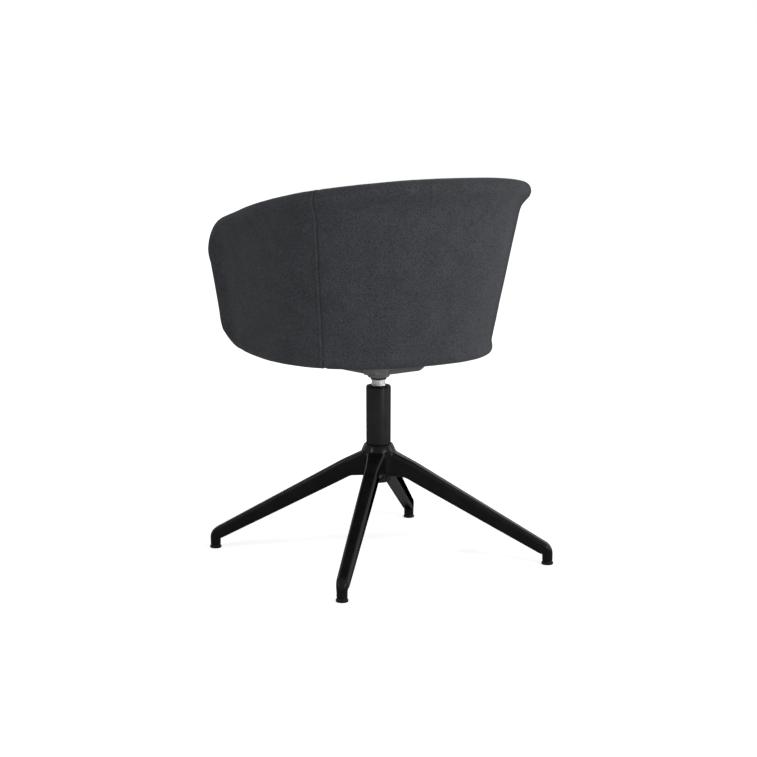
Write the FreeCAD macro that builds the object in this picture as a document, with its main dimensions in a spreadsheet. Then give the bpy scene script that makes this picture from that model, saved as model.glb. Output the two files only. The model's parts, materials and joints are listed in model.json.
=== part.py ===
import FreeCAD, Part
import math
import os
from types import SimpleNamespace

import Sketcher

# A swivel tub chair: an upholstered shell on a fixed-height column and a cast four-leg base.
# Millimetres. The floor is Z = 0, the column's axis is the Z axis and the chair faces -Y.

V = FreeCAD.Vector
ORIGIN = V(0, 0, 0)
UP = V(0, 0, 1)

SIZES = {
    # Base casting: a hub with four sloping legs, each turned down into a foot
    "leg_count": 4,
    "first_leg_angle": 45,
    "foot_circle_radius": 347,
    "leg_depth_at_axis": 41.2,
    "leg_top_at_foot": 40,
    "leg_depth_at_foot": 23.9,
    "leg_width": 31,
    "leg_tip_width": 22,
    "leg_edge_radius": 7,
    "leg_root_radius": 66,
    "leg_start_radius": 12,
    "leg_start_width": 42,
    "leg_start_drop": 10,
    "leg_start_rise": 2,
    "foot_radius": 11,
    "foot_round_share": 0.96,
    "foot_bend_radius": 19,
    "foot_bottom_height": 7.6,
    "hub_top_height": 239,
    "hub_height": 76,
    "hub_collar_radius": 28.2,
    "hub_collar_height": 6,
    "hub_shoulder_drop": 12,
    "hub_body_radius": 31.5,
    "hub_foot_radius": 28.5,
    "hub_foot_rise": 7,
    # Glides pushed into the feet
    "glide_radius": 11.9,
    "glide_edge": 1.6,
    "glide_stem_radius": 4,
    "glide_stem_length": 16,
    # Column: a drawn tube pressed through the hub
    "column_rise": 111,
    "column_radius": 25,
    "column_stub_length": 6,
    "column_bore_radius": 21.8,
    "column_floor_thickness": 3.5,
    # Guide bush with the rounded cap that closes the column
    "bush_cap_height": 4,
    "bush_cap_radius": 24.6,
    "bush_cap_edge": 3,
    "bush_reach_in_hub": 9,
    "running_clearance": 0.06,
    "fit_clearance": 0.05,
    # Spindle that turns in the bush and carries the seat
    "spindle_radius": 14,
    "pin_radius": 5,
    "pin_end_length": 2.4,
    "pin_groove_depth": 0.8,
    "pin_groove_height": 1.4,
    # Thrust washer under the spindle, and the clip that keeps the spindle in
    "thrust_washer_radius": 13,
    "thrust_washer_bore_radius": 5.4,
    "thrust_washer_thickness": 4,
    "clip_gap": 0.3,
    "clip_radius": 8.2,
    # Seat plate: a cast boss with four arms under the seat board
    "neck_height": 13,
    "boss_tip_radius": 16,
    "boss_shoulder_radius": 20.5,
    "boss_tip_height": 7.5,
    "boss_root_radius": 40,
    "plate_depth": 52.8,
    "socket_depth": 41,
    "arm_reach": 96,
    "arm_width": 30,
    "arm_end_width": 24,
    "arm_end_depth": 29,
    "arm_end_radius": 13,
    "arm_edge_radius": 3,
    "bolt_inset": 16,
    "bolt_radius": 3.9,
    "bolt_head_radius": 6.5,
    "bolt_head_height": 6,
    "bolt_socket_radius": 3.4,
    "bolt_flange_thickness": 12,
    "bolt_hole_clearance": 0.4,
    "bolt_bite": 10,
    "well_radius": 8.5,
    "ring_radius": 15.6,
    "ring_thickness": 1.8,
    # Seat board
    "board_thickness": 12,
    "board_edge_gap": 5.5,
    # Upholstered shell: plan, lean and rim line of its outer face
    "half_width": 233.1,
    "back_depth": 230.2,
    "front_reach": 515,
    "plan_centre_ahead": 39,
    "arm_front_ahead": 206.8,
    "plan_power_share": 2.37,
    "side_lean_share": 0.167,
    "back_lean_share": 0.233,
    "rim_back_rise": 362.2,
    "rim_arm_rise": 253.7,
    "rim_fall_share": 1.04,
    "arm_top_corner_radius": 38.5,
    "arm_bottom_corner_radius": 72.8,
    "arm_end_round_radius": 16,
    "seam_turn_angle": 54,
    # Section of the shell's wall
    "wall_thickness": 42,
    "lip_reach": 14.9,
    "lip_radius": 16.8,
    "lip_hollow_radius": 41.8,
    "lip_fade_length": 38,
    "lip_least_share": 0.1,
    "rim_inner_radius": 19,
    "foot_roll_reach": 4.5,
    "foot_roll_radius": 14,
    "foot_roll_hollow_radius": 18,
    "cover_thickness": 1.6,
    "cover_clearance": 0.2,
    "cover_tuck": 18,
    # Moulded core inside the wall
    "core_inset": 17,
    "core_thickness": 8,
    "core_rim_drop": 42,
    "core_end_gap": 31,
    "flange_reach": 30,
    "flange_thickness": 6,
    # Seat cushion
    "seat_front_ahead": 285,
    "seat_curve_ahead": 70,
    "seat_side_gap": 0.5,
    "seat_shoulder_rise": 28,
    "seat_crown_rise": 22,
    "seat_crown_half_width": 58.2,
    "seat_under_tuck": 3.5,
    "seat_hem": 20,
    "split_overlap": 2,
    "flange_clearance": 0.3,
    # Felt that closes the underside
    "felt_thickness": 1.4,
    "felt_gap": 2,
    "felt_hole_radius": 104,
}

# Inset and height of the cushion's crown, as shares of its full reach and rise above the shoulder
CROWN_SHARES = ((0.0, 0.0), (0.02, 0.3), (0.07, 0.57), (0.18, 0.77), (0.45, 0.92), (1.0, 1.0))
# Inset and height of the cushion's foot, as shares of its tuck and of the rise up to the split line
FOOT_SHARES = ((1.0, 0.0), (0.3, 0.25), (0.0, 0.6), (0.0, 1.0))
# Turns of the foot line, as shares of a quarter turn, where the wall's sections stand
TURN_SHARES = (0.0, 0.12, 0.24, 0.36, 0.48, 0.6, 0.73, 0.86, 1.0)
# Place along the straight of an arm, as a share of the way from the bottom corner's start
ARM_SHARES = (0.5,)
# Shares of a quarter turn of the bottom corner where sections stand, the first at the arm's end
CORNER_SHARES = (0.0, 0.25, 0.5, 0.75, 1.0)
# Chords that stand for each round of the wall's section
ROLL_CHORD_COUNT = 3
HOLLOW_CHORD_COUNT = 2
LIP_CHORD_COUNT = 4
EDGE_CHORD_COUNT = 3
# Chords that stand for each rounded corner of a leg's section
CORNER_CHORD_COUNT = 2
# Sides of a bolt's socket
HEX_SIDE_COUNT = 6
# Shares of the foot's bend where its sections stand
BEND_SHARES = (0.25, 0.5, 0.75, 1.0)

# Heights that pieces share, worked out from the sheet from the hub up to the shell
HUB_BOTTOM = "Sizes.hub_top_height - Sizes.hub_height"
COLUMN_FOOT = f"{HUB_BOTTOM} - Sizes.column_stub_length"
COLUMN_TOP = "Sizes.hub_top_height + Sizes.column_rise"
CAP_TOP = f"{COLUMN_TOP} + Sizes.bush_cap_height"
BOSS_BOTTOM = f"{CAP_TOP} + Sizes.neck_height"
SPINDLE_TOP = f"{BOSS_BOTTOM} + Sizes.socket_depth"
BOARD_BOTTOM = f"{BOSS_BOTTOM} + Sizes.plate_depth"
SHELL_BOTTOM = f"{BOARD_BOTTOM} - Sizes.cover_thickness - Sizes.cover_clearance"
LEVELS = {
    "hub_bottom": HUB_BOTTOM,
    "cap_top": CAP_TOP,
    "boss_bottom": BOSS_BOTTOM,
    "spindle_top": SPINDLE_TOP,
    "board_bottom": BOARD_BOTTOM,
    "shell_bottom": SHELL_BOTTOM,
}

AXIS_ROLES = {"XY": "XY_Plane", "XZ": "XZ_Plane", "YZ": "YZ_Plane"}


def fill_sheet(doc):
    """The spreadsheet with every driving size, and the same sizes and the shared heights read from it."""
    sheet = doc.addObject("Spreadsheet::Sheet", "Sizes")
    for row, (name, value) in enumerate(SIZES.items(), start=1):
        sheet.set(f"A{row}", name)
        sheet.set(f"B{row}", str(value))
        sheet.setAlias(f"B{row}", name)
    doc.recompute()
    sizes = {name: float(sheet.get(name)) for name in SIZES}
    levels = {name: float(sheet.evalExpression(expression)) for name, expression in LEVELS.items()}
    return SimpleNamespace(**sizes, **levels)


# Tools for turned pieces

def origin_plane(body, plane):
    """The body's own origin plane of that name."""
    role = AXIS_ROLES[plane]
    return next(item for item in body.Origin.OriginFeatures if item.Role == role)


def tie(sketch, name, constraint, expression):
    """Add a dimension to a sketch and bind it to the sheet."""
    index = sketch.addConstraint(constraint)
    sketch.renameConstraint(index, name)
    sketch.setExpression(f"Constraints.{name}", expression)


def corner_sketch(body, name, plane, corners):
    """A closed outline of straight sides on one of the body's planes, every corner tied to the sheet.

    A coordinate of None lies on the sketch's axis.
    """
    sketch = body.newObject("Sketcher::SketchObject", name)
    sketch.AttachmentSupport = [(origin_plane(body, plane), "")]
    sketch.MapMode = "FlatFace"
    spots = []
    for across, along in corners:
        x = 0.0 if across is None else float(body.evalExpression(across))
        y = 0.0 if along is None else float(body.evalExpression(along))
        spots.append(V(x, y, 0))
    count = len(spots)
    for index, spot in enumerate(spots):
        sketch.addGeometry(Part.LineSegment(spot, spots[(index + 1) % count]), False)
    for index in range(count):
        sketch.addConstraint(Sketcher.Constraint("Coincident", index, 2, (index + 1) % count, 1))
    for index, (across, along) in enumerate(corners):
        if across is None:
            sketch.addConstraint(Sketcher.Constraint("PointOnObject", index, 1, -2))
        else:
            wide = Sketcher.Constraint("DistanceX", -1, 1, index, 1, spots[index].x)
            tie(sketch, f"across{index}", wide, across)
        if along is None:
            sketch.addConstraint(Sketcher.Constraint("PointOnObject", index, 1, -1))
        else:
            tall = Sketcher.Constraint("DistanceY", -1, 1, index, 1, spots[index].y)
            tie(sketch, f"along{index}", tall, along)
    return sketch


def turned_body(doc, label, corners):
    """A body turned about Z from an outline of (radius, height) corners."""
    body = doc.addObject("PartDesign::Body", label)
    sketch = corner_sketch(body, f"{label}_outline", "XZ", corners)
    turn = body.newObject("PartDesign::Revolution", f"{label}_turning")
    turn.Profile = sketch
    turn.ReferenceAxis = (sketch, ["V_Axis"])
    turn.Angle = 360
    doc.recompute()
    return body


def ring_edges(shape, radius, height):
    """Names of the round edges of that radius at that height."""
    names = []
    for index, edge in enumerate(shape.Edges, start=1):
        curve = edge.Curve
        if not isinstance(curve, Part.Circle) or not math.isclose(curve.Radius, radius):
            continue
        if math.isclose(curve.Center.z, height):
            names.append(f"Edge{index}")
    return names


def chamfer_rings(doc, body, expression, rings):
    """Chamfer the ring edges of a turned body, given as (radius, height) pairs."""
    turned = body.Tip
    names = [name for radius, height in rings for name in ring_edges(turned.Shape, radius, height)]
    chamfer = body.newObject("PartDesign::Chamfer", f"{body.Label}_chamfer")
    chamfer.Base = (turned, names)
    chamfer.setExpression("Size", expression)
    doc.recompute()


def ring(doc, label, outer, inner, bottom, thickness):
    """A flat ring about Z, all four sizes bound to the sheet."""
    disc = doc.addObject("Part::Cylinder", f"{label}_disc")
    hole = doc.addObject("Part::Cylinder", f"{label}_hole")
    disc.setExpression("Radius", outer)
    hole.setExpression("Radius", inner)
    for cylinder in (disc, hole):
        cylinder.setExpression("Height", thickness)
        cylinder.setExpression("Placement.Base.z", bottom)
    cut = doc.addObject("Part::Cut", label)
    cut.Base = disc
    cut.Tool = hole
    return cut


def feature(doc, label, shape):
    """A document object that holds a finished shape."""
    item = doc.addObject("Part::Feature", label)
    item.Shape = shape
    return item


# Tools for outlines and faceted skins

def swing(centre, radius, first, last, chords):
    """Points on the shorter arc about a centre, from one unit direction to another."""
    sweep = first.getAngle(last)
    points = []
    for step in range(chords + 1):
        share = step / chords
        mix = first * math.sin((1 - share) * sweep) + last * math.sin(share * sweep)
        points.append(centre + mix * (radius / math.sin(sweep)))
    return points


def placed(points, placement):
    """Points of a station's plane, put in their place."""
    return [placement.multVec(point) for point in points]


def flat_face(points):
    """The flat face inside a closed run of straight sides."""
    return Part.Face(Part.makePolygon(points + [points[0]]))


def skin(sections, ends=True):
    """A solid with three-sided facets between closed sections of as many points each, and flat ends.

    Each four-sided patch is split along the diagonal that stands further out from the Z axis, so that
    layers that lie on each other are split alike. Without ends, the last section is the first one again.
    """
    faces = [flat_face(sections[0]), flat_face(sections[-1])] if ends else []
    for near, far in zip(sections, sections[1:]):
        for index in range(len(near)):
            patch = [near[index - 1], near[index], far[index], far[index - 1]]
            one, two = patch[0] + patch[2], patch[1] + patch[3]
            if math.hypot(one.x, one.y) < math.hypot(two.x, two.y):
                patch = patch[1:] + patch[:1]
            faces.append(flat_face(patch[:3]))
            faces.append(flat_face([patch[2], patch[3], patch[0]]))
    shell = Part.makeShell(faces)
    shell.sewShape()
    solid = Part.makeSolid(shell)
    return solid if solid.Volume > 0 else solid.reversed()


def superellipse(half_width, half_depth, power, turn):
    """Point and outward normal of a superellipse where its normal has turned that far from +Y."""
    across, along = math.sin(turn), math.cos(turn)
    wide, deep = half_width * abs(across), half_depth * abs(along)
    scale = (wide ** (power / (power - 1)) + deep ** (power / (power - 1))) ** (1 / power)
    x = math.copysign(half_width * wide ** (1 / (power - 1)) / scale, across)
    y = math.copysign(half_depth * deep ** (1 / (power - 1)) / scale, along)
    return V(x, y, 0), V(across, along, 0)


def corner_drop(radius, distance):
    """How far a round corner has fallen away at a distance from its end."""
    left = radius - min(distance, radius)
    return radius - math.sqrt(max(radius * radius - left * left, 0))


# Heights that the seat's layers share

def board_top(v):
    """Top of the seat board, where the core's flange and the foam rest."""
    return v.board_bottom + v.board_thickness


def flange_top(v):
    """Top of the core's flange."""
    return board_top(v) + v.flange_thickness


def split_height(v):
    """Height above the flange where the inner cover and the seat cover end."""
    return flange_top(v) + 2 * v.cover_clearance


# Wall stations and sections

def station(v, point, normal, ahead, to_end):
    """One upright plane across the wall: where it stands, how the wall leans there and its heights."""
    side = abs(point.x * normal.x) / v.half_width * v.side_lean_share
    back = max(point.y * normal.y, 0) / v.back_depth * v.back_lean_share
    arm_reach = v.arm_front_ahead - v.plan_centre_ahead
    fall = max(0, (ahead + v.back_depth) / (arm_reach + v.back_depth)) ** v.rim_fall_share
    rim = v.shell_bottom + v.rim_back_rise - (v.rim_back_rise - v.rim_arm_rise) * fall
    fade = max(0, min(1, 1 - (to_end - v.arm_end_round_radius) / v.lip_fade_length))
    flare = (1 - v.lip_least_share) * v.lip_reach * fade ** 2
    foot = V(point.x, point.y - v.plan_centre_ahead, 0)
    turned = FreeCAD.Rotation(UP, math.degrees(math.atan2(normal.y, normal.x)))
    return SimpleNamespace(
        placement=FreeCAD.Placement(foot, turned),
        lean=side + back,
        top=rim - corner_drop(v.arm_top_corner_radius, to_end),
        bottom=v.shell_bottom + corner_drop(v.arm_bottom_corner_radius, to_end),
        shift=flare - corner_drop(v.arm_end_round_radius, to_end),
        thickness=v.wall_thickness + flare - 2 * corner_drop(v.arm_end_round_radius, to_end),
        lip=v.lip_reach - flare,
        round_share=1 - 2 * corner_drop(v.arm_end_round_radius, to_end) / (v.wall_thickness + v.lip_reach),
        roll=v.foot_roll_reach * max(v.lip_least_share, min(1, to_end / v.arm_bottom_corner_radius)),
        to_end=to_end,
    )


def back_station(v, turn):
    """The station where the foot line's normal has turned that far from straight back."""
    point, normal = superellipse(v.half_width, v.back_depth, v.plan_power_share, turn)
    return station(v, point, normal, -point.y, math.inf)


def arm_station(v, side, to_end):
    """The station on an arm at that distance from the arm's front end."""
    ahead = v.arm_front_ahead - v.plan_centre_ahead - to_end
    power = v.plan_power_share
    x = v.half_width * (1 - (ahead / v.front_reach) ** power) ** (1 / power)
    wide = (x / v.half_width) ** (power - 1) / v.half_width
    deep = (ahead / v.front_reach) ** (power - 1) / v.front_reach
    normal = V(side * wide, -deep, 0).normalize()
    return station(v, V(side * x, -ahead, 0), normal, ahead, to_end)


def arm_stations(v, side, least):
    """Stations along one arm, front end first, none nearer to the end than `least`."""
    corner = v.arm_bottom_corner_radius
    straight = v.arm_front_ahead - v.plan_centre_ahead - corner
    gaps = [corner * (1 - math.cos(share * math.pi / 2)) for share in CORNER_SHARES]
    gaps += [corner + straight * share for share in ARM_SHARES]
    kept = [gap for gap in gaps if gap > least + v.cover_thickness]
    return [arm_station(v, side, gap) for gap in [least] + kept]


def wall_stations(v, least):
    """Stations from the chair's left arm round the back to its right arm."""
    turns = [share * math.pi / 2 for share in TURN_SHARES]
    left = arm_stations(v, 1, least)
    left += [back_station(v, turn) for turn in reversed(turns)]
    right = [back_station(v, -turn) for turn in turns[1:]]
    right += list(reversed(arm_stations(v, -1, least)))
    return left + right


def face_line(v, place, height):
    """How far out the wall's face line is at a height of a station."""
    return place.lean * (height - v.shell_bottom) + place.shift


def slopes(place):
    """The wall's outward normal and its rising direction at a station."""
    angle = math.atan(place.lean)
    return V(math.cos(angle), 0, -math.sin(angle)), V(math.sin(angle), 0, math.cos(angle))


def hollow(v, place, centre, radius, hollow_radius, rising):
    """Centre of the hollow that joins the wall's face to a round edge, above it or below it."""
    normal, along = slopes(place)
    spot = V(face_line(v, place, centre.z), 0, centre.z)
    gap = centre - spot
    reach = math.sqrt(max((hollow_radius + radius) ** 2 - (hollow_radius - gap.dot(normal)) ** 2, 0))
    return spot + along * (gap.dot(along) + rising * reach) + normal * hollow_radius


def rim_inner_centre(v, place):
    """Centre of the rim's rounded inner edge."""
    angle = math.atan(place.lean)
    radius = v.rim_inner_radius * place.round_share
    touch = place.top - radius + radius * math.sin(angle)
    inner_face = face_line(v, place, touch) - place.thickness
    return V(inner_face + radius * math.cos(angle), 0, place.top - radius)


def outer_run(v, place, depth, tuck):
    """The wall's outline from under its foot, up the outer face and over the lip to the rim's inner edge."""
    normal, _ = slopes(place)
    roll_radius = v.foot_roll_radius * place.round_share
    roll_height = place.bottom + roll_radius
    roll = V(face_line(v, place, roll_height) + place.roll - roll_radius, 0, roll_height)
    low = hollow(v, place, roll, roll_radius, v.foot_roll_hollow_radius, 1)
    lip_radius = v.lip_radius * place.round_share
    lip_height = place.top - lip_radius
    lip = V(face_line(v, place, lip_height) + place.lip - lip_radius, 0, lip_height)
    high = hollow(v, place, lip, lip_radius, v.lip_hollow_radius, -1)
    to_low = (low - roll).normalize()
    to_high = (high - lip).normalize()
    run = [V(face_line(v, place, place.bottom) - tuck, 0, place.bottom + depth)]
    run += swing(roll, roll_radius - depth, UP * -1, to_low, ROLL_CHORD_COUNT)
    run += swing(low, v.foot_roll_hollow_radius + depth, to_low * -1, normal * -1, HOLLOW_CHORD_COUNT)[1:]
    run += swing(high, v.lip_hollow_radius + depth, normal * -1, to_high * -1, HOLLOW_CHORD_COUNT)
    run += swing(lip, lip_radius - depth, to_high, UP, LIP_CHORD_COUNT)[1:]
    run.append(rim_inner_centre(v, place) + UP * (v.rim_inner_radius * place.round_share - depth))
    return run


def inner_run(v, place, depth, bottom):
    """The wall's outline from the rim's inner edge down the inner face to a height."""
    normal, _ = slopes(place)
    radius = v.rim_inner_radius * place.round_share - depth
    run = swing(rim_inner_centre(v, place), radius, UP, normal * -1, EDGE_CHORD_COUNT)
    inset = depth / math.cos(math.atan(place.lean))
    run.append(V(face_line(v, place, bottom) - place.thickness + inset, 0, bottom))
    return run


def padded_section(v, place, depth):
    """The closed outline of the padded wall at a station, `depth` under its faces."""
    inner = inner_run(v, place, depth, place.bottom + depth)
    outer = outer_run(v, place, depth, 0)[1:]
    return placed(outer + inner[1:], place.placement)


def outer_cover_section(v, place):
    """The outer cover's cloth at a station, tucked under the board only behind the arm's bottom corner."""
    behind = max(0, min(v.cover_tuck, place.to_end - v.arm_bottom_corner_radius))
    tuck = place.thickness + behind
    face = outer_run(v, place, 0, tuck)
    lining = outer_run(v, place, v.cover_thickness, tuck)
    return placed(face + lining[::-1], place.placement)


def inner_cover_section(v, place):
    """The inner cover's cloth at a station."""
    bottom = place.bottom + split_height(v) - v.shell_bottom
    face = inner_run(v, place, 0, bottom)
    lining = inner_run(v, place, v.cover_thickness, bottom)
    return placed(face + lining[::-1], place.placement)


def core_section(v, place, clearance):
    """The moulded core's wall at a station, or the room for it with a clearance."""
    low = place.bottom + board_top(v) - v.shell_bottom - clearance
    high = place.top - v.core_rim_drop + clearance
    outer = clearance - v.core_inset
    inner = -v.core_inset - v.core_thickness - clearance
    points = [V(face_line(v, place, low) + outer, 0, low)]
    points.append(V(face_line(v, place, high) + outer, 0, high))
    points.append(V(face_line(v, place, high) + inner, 0, high))
    points.append(V(face_line(v, place, low) + inner, 0, low))
    return placed(points, place.placement)


def flange_section(v, place, clearance):
    """The core's inward foot flange at a station."""
    low = board_top(v) - clearance
    high = low + v.flange_thickness + 2 * clearance
    outer = face_line(v, place, low) - v.core_inset - v.core_thickness / 2
    inner = -v.wall_thickness - v.flange_reach - clearance
    corners = [V(outer, 0, low), V(outer, 0, high), V(inner, 0, high), V(inner, 0, low)]
    return placed(corners, place.placement)


def flange_stations(v, extra):
    """The wall's stations that the flange spans, run on past its ends by `extra`."""
    least = v.arm_bottom_corner_radius - extra
    turns = [share * math.pi / 2 for share in TURN_SHARES]
    left = [arm_station(v, 1, least)] + [back_station(v, turn) for turn in reversed(turns)]
    right = [back_station(v, -turn) for turn in turns[1:]] + [arm_station(v, -1, least)]
    return left + right


# Upholstered shell

def cover_ends(v, side):
    """The cloth that closes an arm's front end, as thick as the cover."""
    front = padded_section(v, arm_station(v, side, 0), 0)
    back = padded_section(v, arm_station(v, side, v.cover_thickness), 0)
    return skin([front, back])


def make_outer_back_cover(doc, v):
    """The cloth panel round the back, from side seam to side seam."""
    seam = v.seam_turn_angle / 90
    shares = [share for share in TURN_SHARES if share < seam] + [seam]
    turns = [share * math.pi / 2 for share in shares]
    stations = [back_station(v, turn) for turn in reversed(turns)]
    stations += [back_station(v, -turn) for turn in turns[1:]]
    return feature(doc, "outer_back_cover", skin([outer_cover_section(v, place) for place in stations]))


def make_side_cover(doc, v, label, side):
    """The cloth panel of one side, from the back seam round the arm's front end."""
    seam = v.seam_turn_angle / 90
    shares = [seam] + [share for share in TURN_SHARES if share > seam]
    stations = arm_stations(v, side, v.cover_thickness)
    stations += [back_station(v, side * share * math.pi / 2) for share in reversed(shares)]
    panel = skin([outer_cover_section(v, place) for place in stations])
    return feature(doc, label, panel.fuse(cover_ends(v, side)).removeSplitter())


def make_inner_cover(doc, v):
    """The cloth panel inside the arms and back."""
    stations = wall_stations(v, v.cover_thickness)
    return feature(doc, "inner_cover", skin([inner_cover_section(v, place) for place in stations]))


def make_shell_core(doc, v):
    """The moulded core: a thin leaning wall with a flat flange that rests on the seat board."""
    wall = skin([core_section(v, place, 0) for place in wall_stations(v, v.core_end_gap)])
    flange = skin([flange_section(v, place, 0) for place in flange_stations(v, 0)])
    return feature(doc, "shell_core", wall.fuse(flange))


def make_shell_foam(doc, v):
    """The foam moulded round the core, with a slot for the core and its flange."""
    gap = v.cover_thickness + v.cover_clearance
    foam = skin([padded_section(v, place, gap) for place in wall_stations(v, gap)])
    room = v.flange_clearance
    slot = skin([core_section(v, place, room) for place in wall_stations(v, v.core_end_gap - gap)])
    shelf = skin([flange_section(v, place, room) for place in flange_stations(v, gap)])
    return feature(doc, "shell_foam", foam.cut(slot.fuse(shelf)))


# Seat

def seat_outline(v, height, tuck):
    """Points round the seat: along the wall's inner face, and a superellipse ahead of the arms."""
    points = []
    rise = height - v.shell_bottom
    turns = [share * math.pi / 2 for share in TURN_SHARES]
    for turn in [angle for angle in reversed(turns)] + [-angle for angle in turns[1:]]:
        point, normal = superellipse(v.half_width, v.back_depth, v.plan_power_share, turn)
        side = abs(point.x * normal.x) / v.half_width * v.side_lean_share
        back = point.y * normal.y / v.back_depth * v.back_lean_share
        spot = point + normal * (rise * (side + back) - v.wall_thickness - v.seat_side_gap - tuck)
        points.append(V(spot.x, spot.y - v.plan_centre_ahead, height))
    wide = v.half_width + rise * v.side_lean_share - v.wall_thickness - v.seat_side_gap
    deep = v.seat_front_ahead - v.seat_curve_ahead
    turns = [math.pi - angle for angle in turns]
    for turn in [-angle for angle in reversed(turns)] + turns[1:]:
        point, normal = superellipse(wide, deep, v.plan_power_share, turn)
        spot = point - normal * tuck
        points.append(V(spot.x, spot.y - v.seat_curve_ahead, height))
    return points


def slab(points, thickness):
    """An upright slab on a flat outline."""
    return flat_face(points).extrude(UP * thickness)


def crown_levels(v, depth):
    """Heights and insets of the cushion's crown, `depth` under its face."""
    shoulder = v.shell_bottom + v.seat_shoulder_rise
    spans = (v.half_width - v.wall_thickness, v.back_depth - v.wall_thickness,
             v.seat_front_ahead - v.seat_curve_ahead)
    tuck = min(spans) - v.seat_crown_half_width
    return [
        (shoulder + v.seat_crown_rise * high - depth, tuck * inset + depth)
        for inset, high in CROWN_SHARES
    ]


def cushion_sections(v, depth, low):
    """Sections of the crowned cushion from a height up, `depth` under its face."""
    levels = [(low, depth)] + crown_levels(v, depth)
    return [seat_outline(v, z, tuck) for z, tuck in levels]


def make_seat_cover(doc, v):
    """The cloth over the seat cushion: down its face, and up again behind the cloth."""
    low = split_height(v)
    face = cushion_sections(v, 0, low)
    lining = cushion_sections(v, v.cover_thickness, low)
    return feature(doc, "seat_cover", skin(face[::-1] + lining))


def make_seat_foam(doc, v):
    """The seat's foam, resting on the board and cut away over the core's flange."""
    foam = skin(cushion_sections(v, v.cover_thickness + v.cover_clearance, board_top(v)))
    room = v.flange_clearance
    shelf = skin([flange_section(v, place, room) for place in flange_stations(v, room)])
    return feature(doc, "seat_foam", foam.cut(shelf))


def band_sections(v, depth, low, high):
    """Sections of the seat's lower edge between two heights, `depth` under its face."""
    levels = [(low + (high - low) * rise, v.seat_under_tuck * inset + depth) for inset, rise in FOOT_SHARES]
    return [seat_outline(v, z, tuck) for z, tuck in levels]


def make_seat_front_cover(doc, v):
    """The cloth border round the seat's front edge, hemmed under the board."""
    low = v.shell_bottom
    high = split_height(v)
    face = band_sections(v, 0, low, high)
    lining = band_sections(v, v.cover_thickness, low + v.cover_thickness, high)
    hem = [seat_outline(v, z, v.seat_hem) for z in (low, low + v.cover_thickness)]
    border = skin(face[::-1] + hem + lining + face[-1:], ends=False)
    behind = v.arm_front_ahead - v.arm_bottom_corner_radius + v.split_overlap
    corner = V(-v.half_width, -behind - v.seat_front_ahead, 0)
    ahead = Part.makeBox(2 * v.half_width, v.seat_front_ahead, high, corner)
    return feature(doc, "seat_front_cover", border.common(ahead))


def bolt_spots(v, height):
    """Places of the plate's bolts at a height."""
    reach = v.arm_reach - v.bolt_inset
    spots = []
    for step in range(int(v.leg_count)):
        angle = math.radians(v.first_leg_angle + step * 360 / v.leg_count)
        spots.append(V(reach * math.cos(angle), reach * math.sin(angle), height))
    return spots


def make_seat_board(doc, v):
    """The plywood seat board, bored for the plate's bolts."""
    board = slab(seat_outline(v, v.board_bottom, v.board_edge_gap), v.board_thickness)
    bores = []
    for spot in bolt_spots(v, v.board_bottom):
        bores.append(Part.makeCylinder(v.bolt_radius + v.fit_clearance, v.bolt_bite, spot, UP))
    return feature(doc, "seat_board", board.cut(Part.makeCompound(bores)))


def bolt_seat_height(v):
    """Height of the face in each well that a bolt's head bears on."""
    return v.board_bottom - v.bolt_flange_thickness


def make_plate_bolts(doc, v):
    """Socket-head bolts that hold the seat plate to the board."""
    tip = v.bolt_flange_thickness + v.bolt_bite
    outline = [V(0, 0, -v.bolt_head_height), V(v.bolt_head_radius, 0, -v.bolt_head_height)]
    outline += [V(v.bolt_head_radius, 0, 0), V(v.bolt_radius, 0, 0), V(v.bolt_radius, 0, tip), V(0, 0, tip)]
    turns = [math.tau * turn / HEX_SIDE_COUNT for turn in range(HEX_SIDE_COUNT)]
    corners = [V(math.cos(turn), math.sin(turn), 0) * v.bolt_socket_radius for turn in turns]
    socket = slab([corner - UP * v.bolt_head_height for corner in corners], v.bolt_head_height / 2)
    bolt = flat_face(outline).revolve(ORIGIN, UP, 360).cut(socket)
    bolts = []
    for spot in bolt_spots(v, bolt_seat_height(v)):
        placed_bolt = bolt.copy()
        placed_bolt.translate(spot)
        bolts.append(placed_bolt)
    return feature(doc, "plate_bolts", Part.makeCompound(bolts))


def make_underside_felt(doc, v):
    """The felt sheet that closes the underside round the seat plate."""
    outline = seat_outline(v, v.shell_bottom, v.seat_hem + v.felt_gap)
    felt = slab(outline, v.felt_thickness)
    hole = Part.makeCylinder(v.felt_hole_radius, v.felt_thickness, UP * v.shell_bottom, UP)
    return feature(doc, "underside_felt", felt.cut(hole))


# Seat plate

def arm_profile(v):
    """Side outline of one plate arm in the XZ plane, its lower outer corner rounded by chords."""
    top = v.board_bottom
    low = top - v.arm_end_depth
    centre = V(v.arm_reach - v.arm_end_radius, 0, low + v.arm_end_radius)
    points = [V(0, 0, top), V(v.arm_reach, 0, top)]
    points += swing(centre, v.arm_end_radius, V(1, 0, 0), UP * -1, LIP_CHORD_COUNT)
    shoulder = v.boss_bottom + v.boss_tip_height
    points += [V(v.boss_shoulder_radius, 0, shoulder), V(0, 0, shoulder)]
    return points


def plate_arm(v):
    """One arm of the plate: its side outline trimmed to a taper in plan."""
    side = flat_face(arm_profile(v)).extrude(V(0, v.arm_width, 0))
    side.translate(V(0, -v.arm_width / 2, 0))
    root, tip = v.arm_width / 2, v.arm_end_width / 2
    corner = v.arm_edge_radius
    plan = [V(0, -root, 0), V(v.arm_reach - corner, -tip, 0), V(v.arm_reach, corner - tip, 0)]
    plan += [V(v.arm_reach, tip - corner, 0), V(v.arm_reach - corner, tip, 0), V(0, root, 0)]
    return side.common(slab(plan, v.board_bottom))


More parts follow.
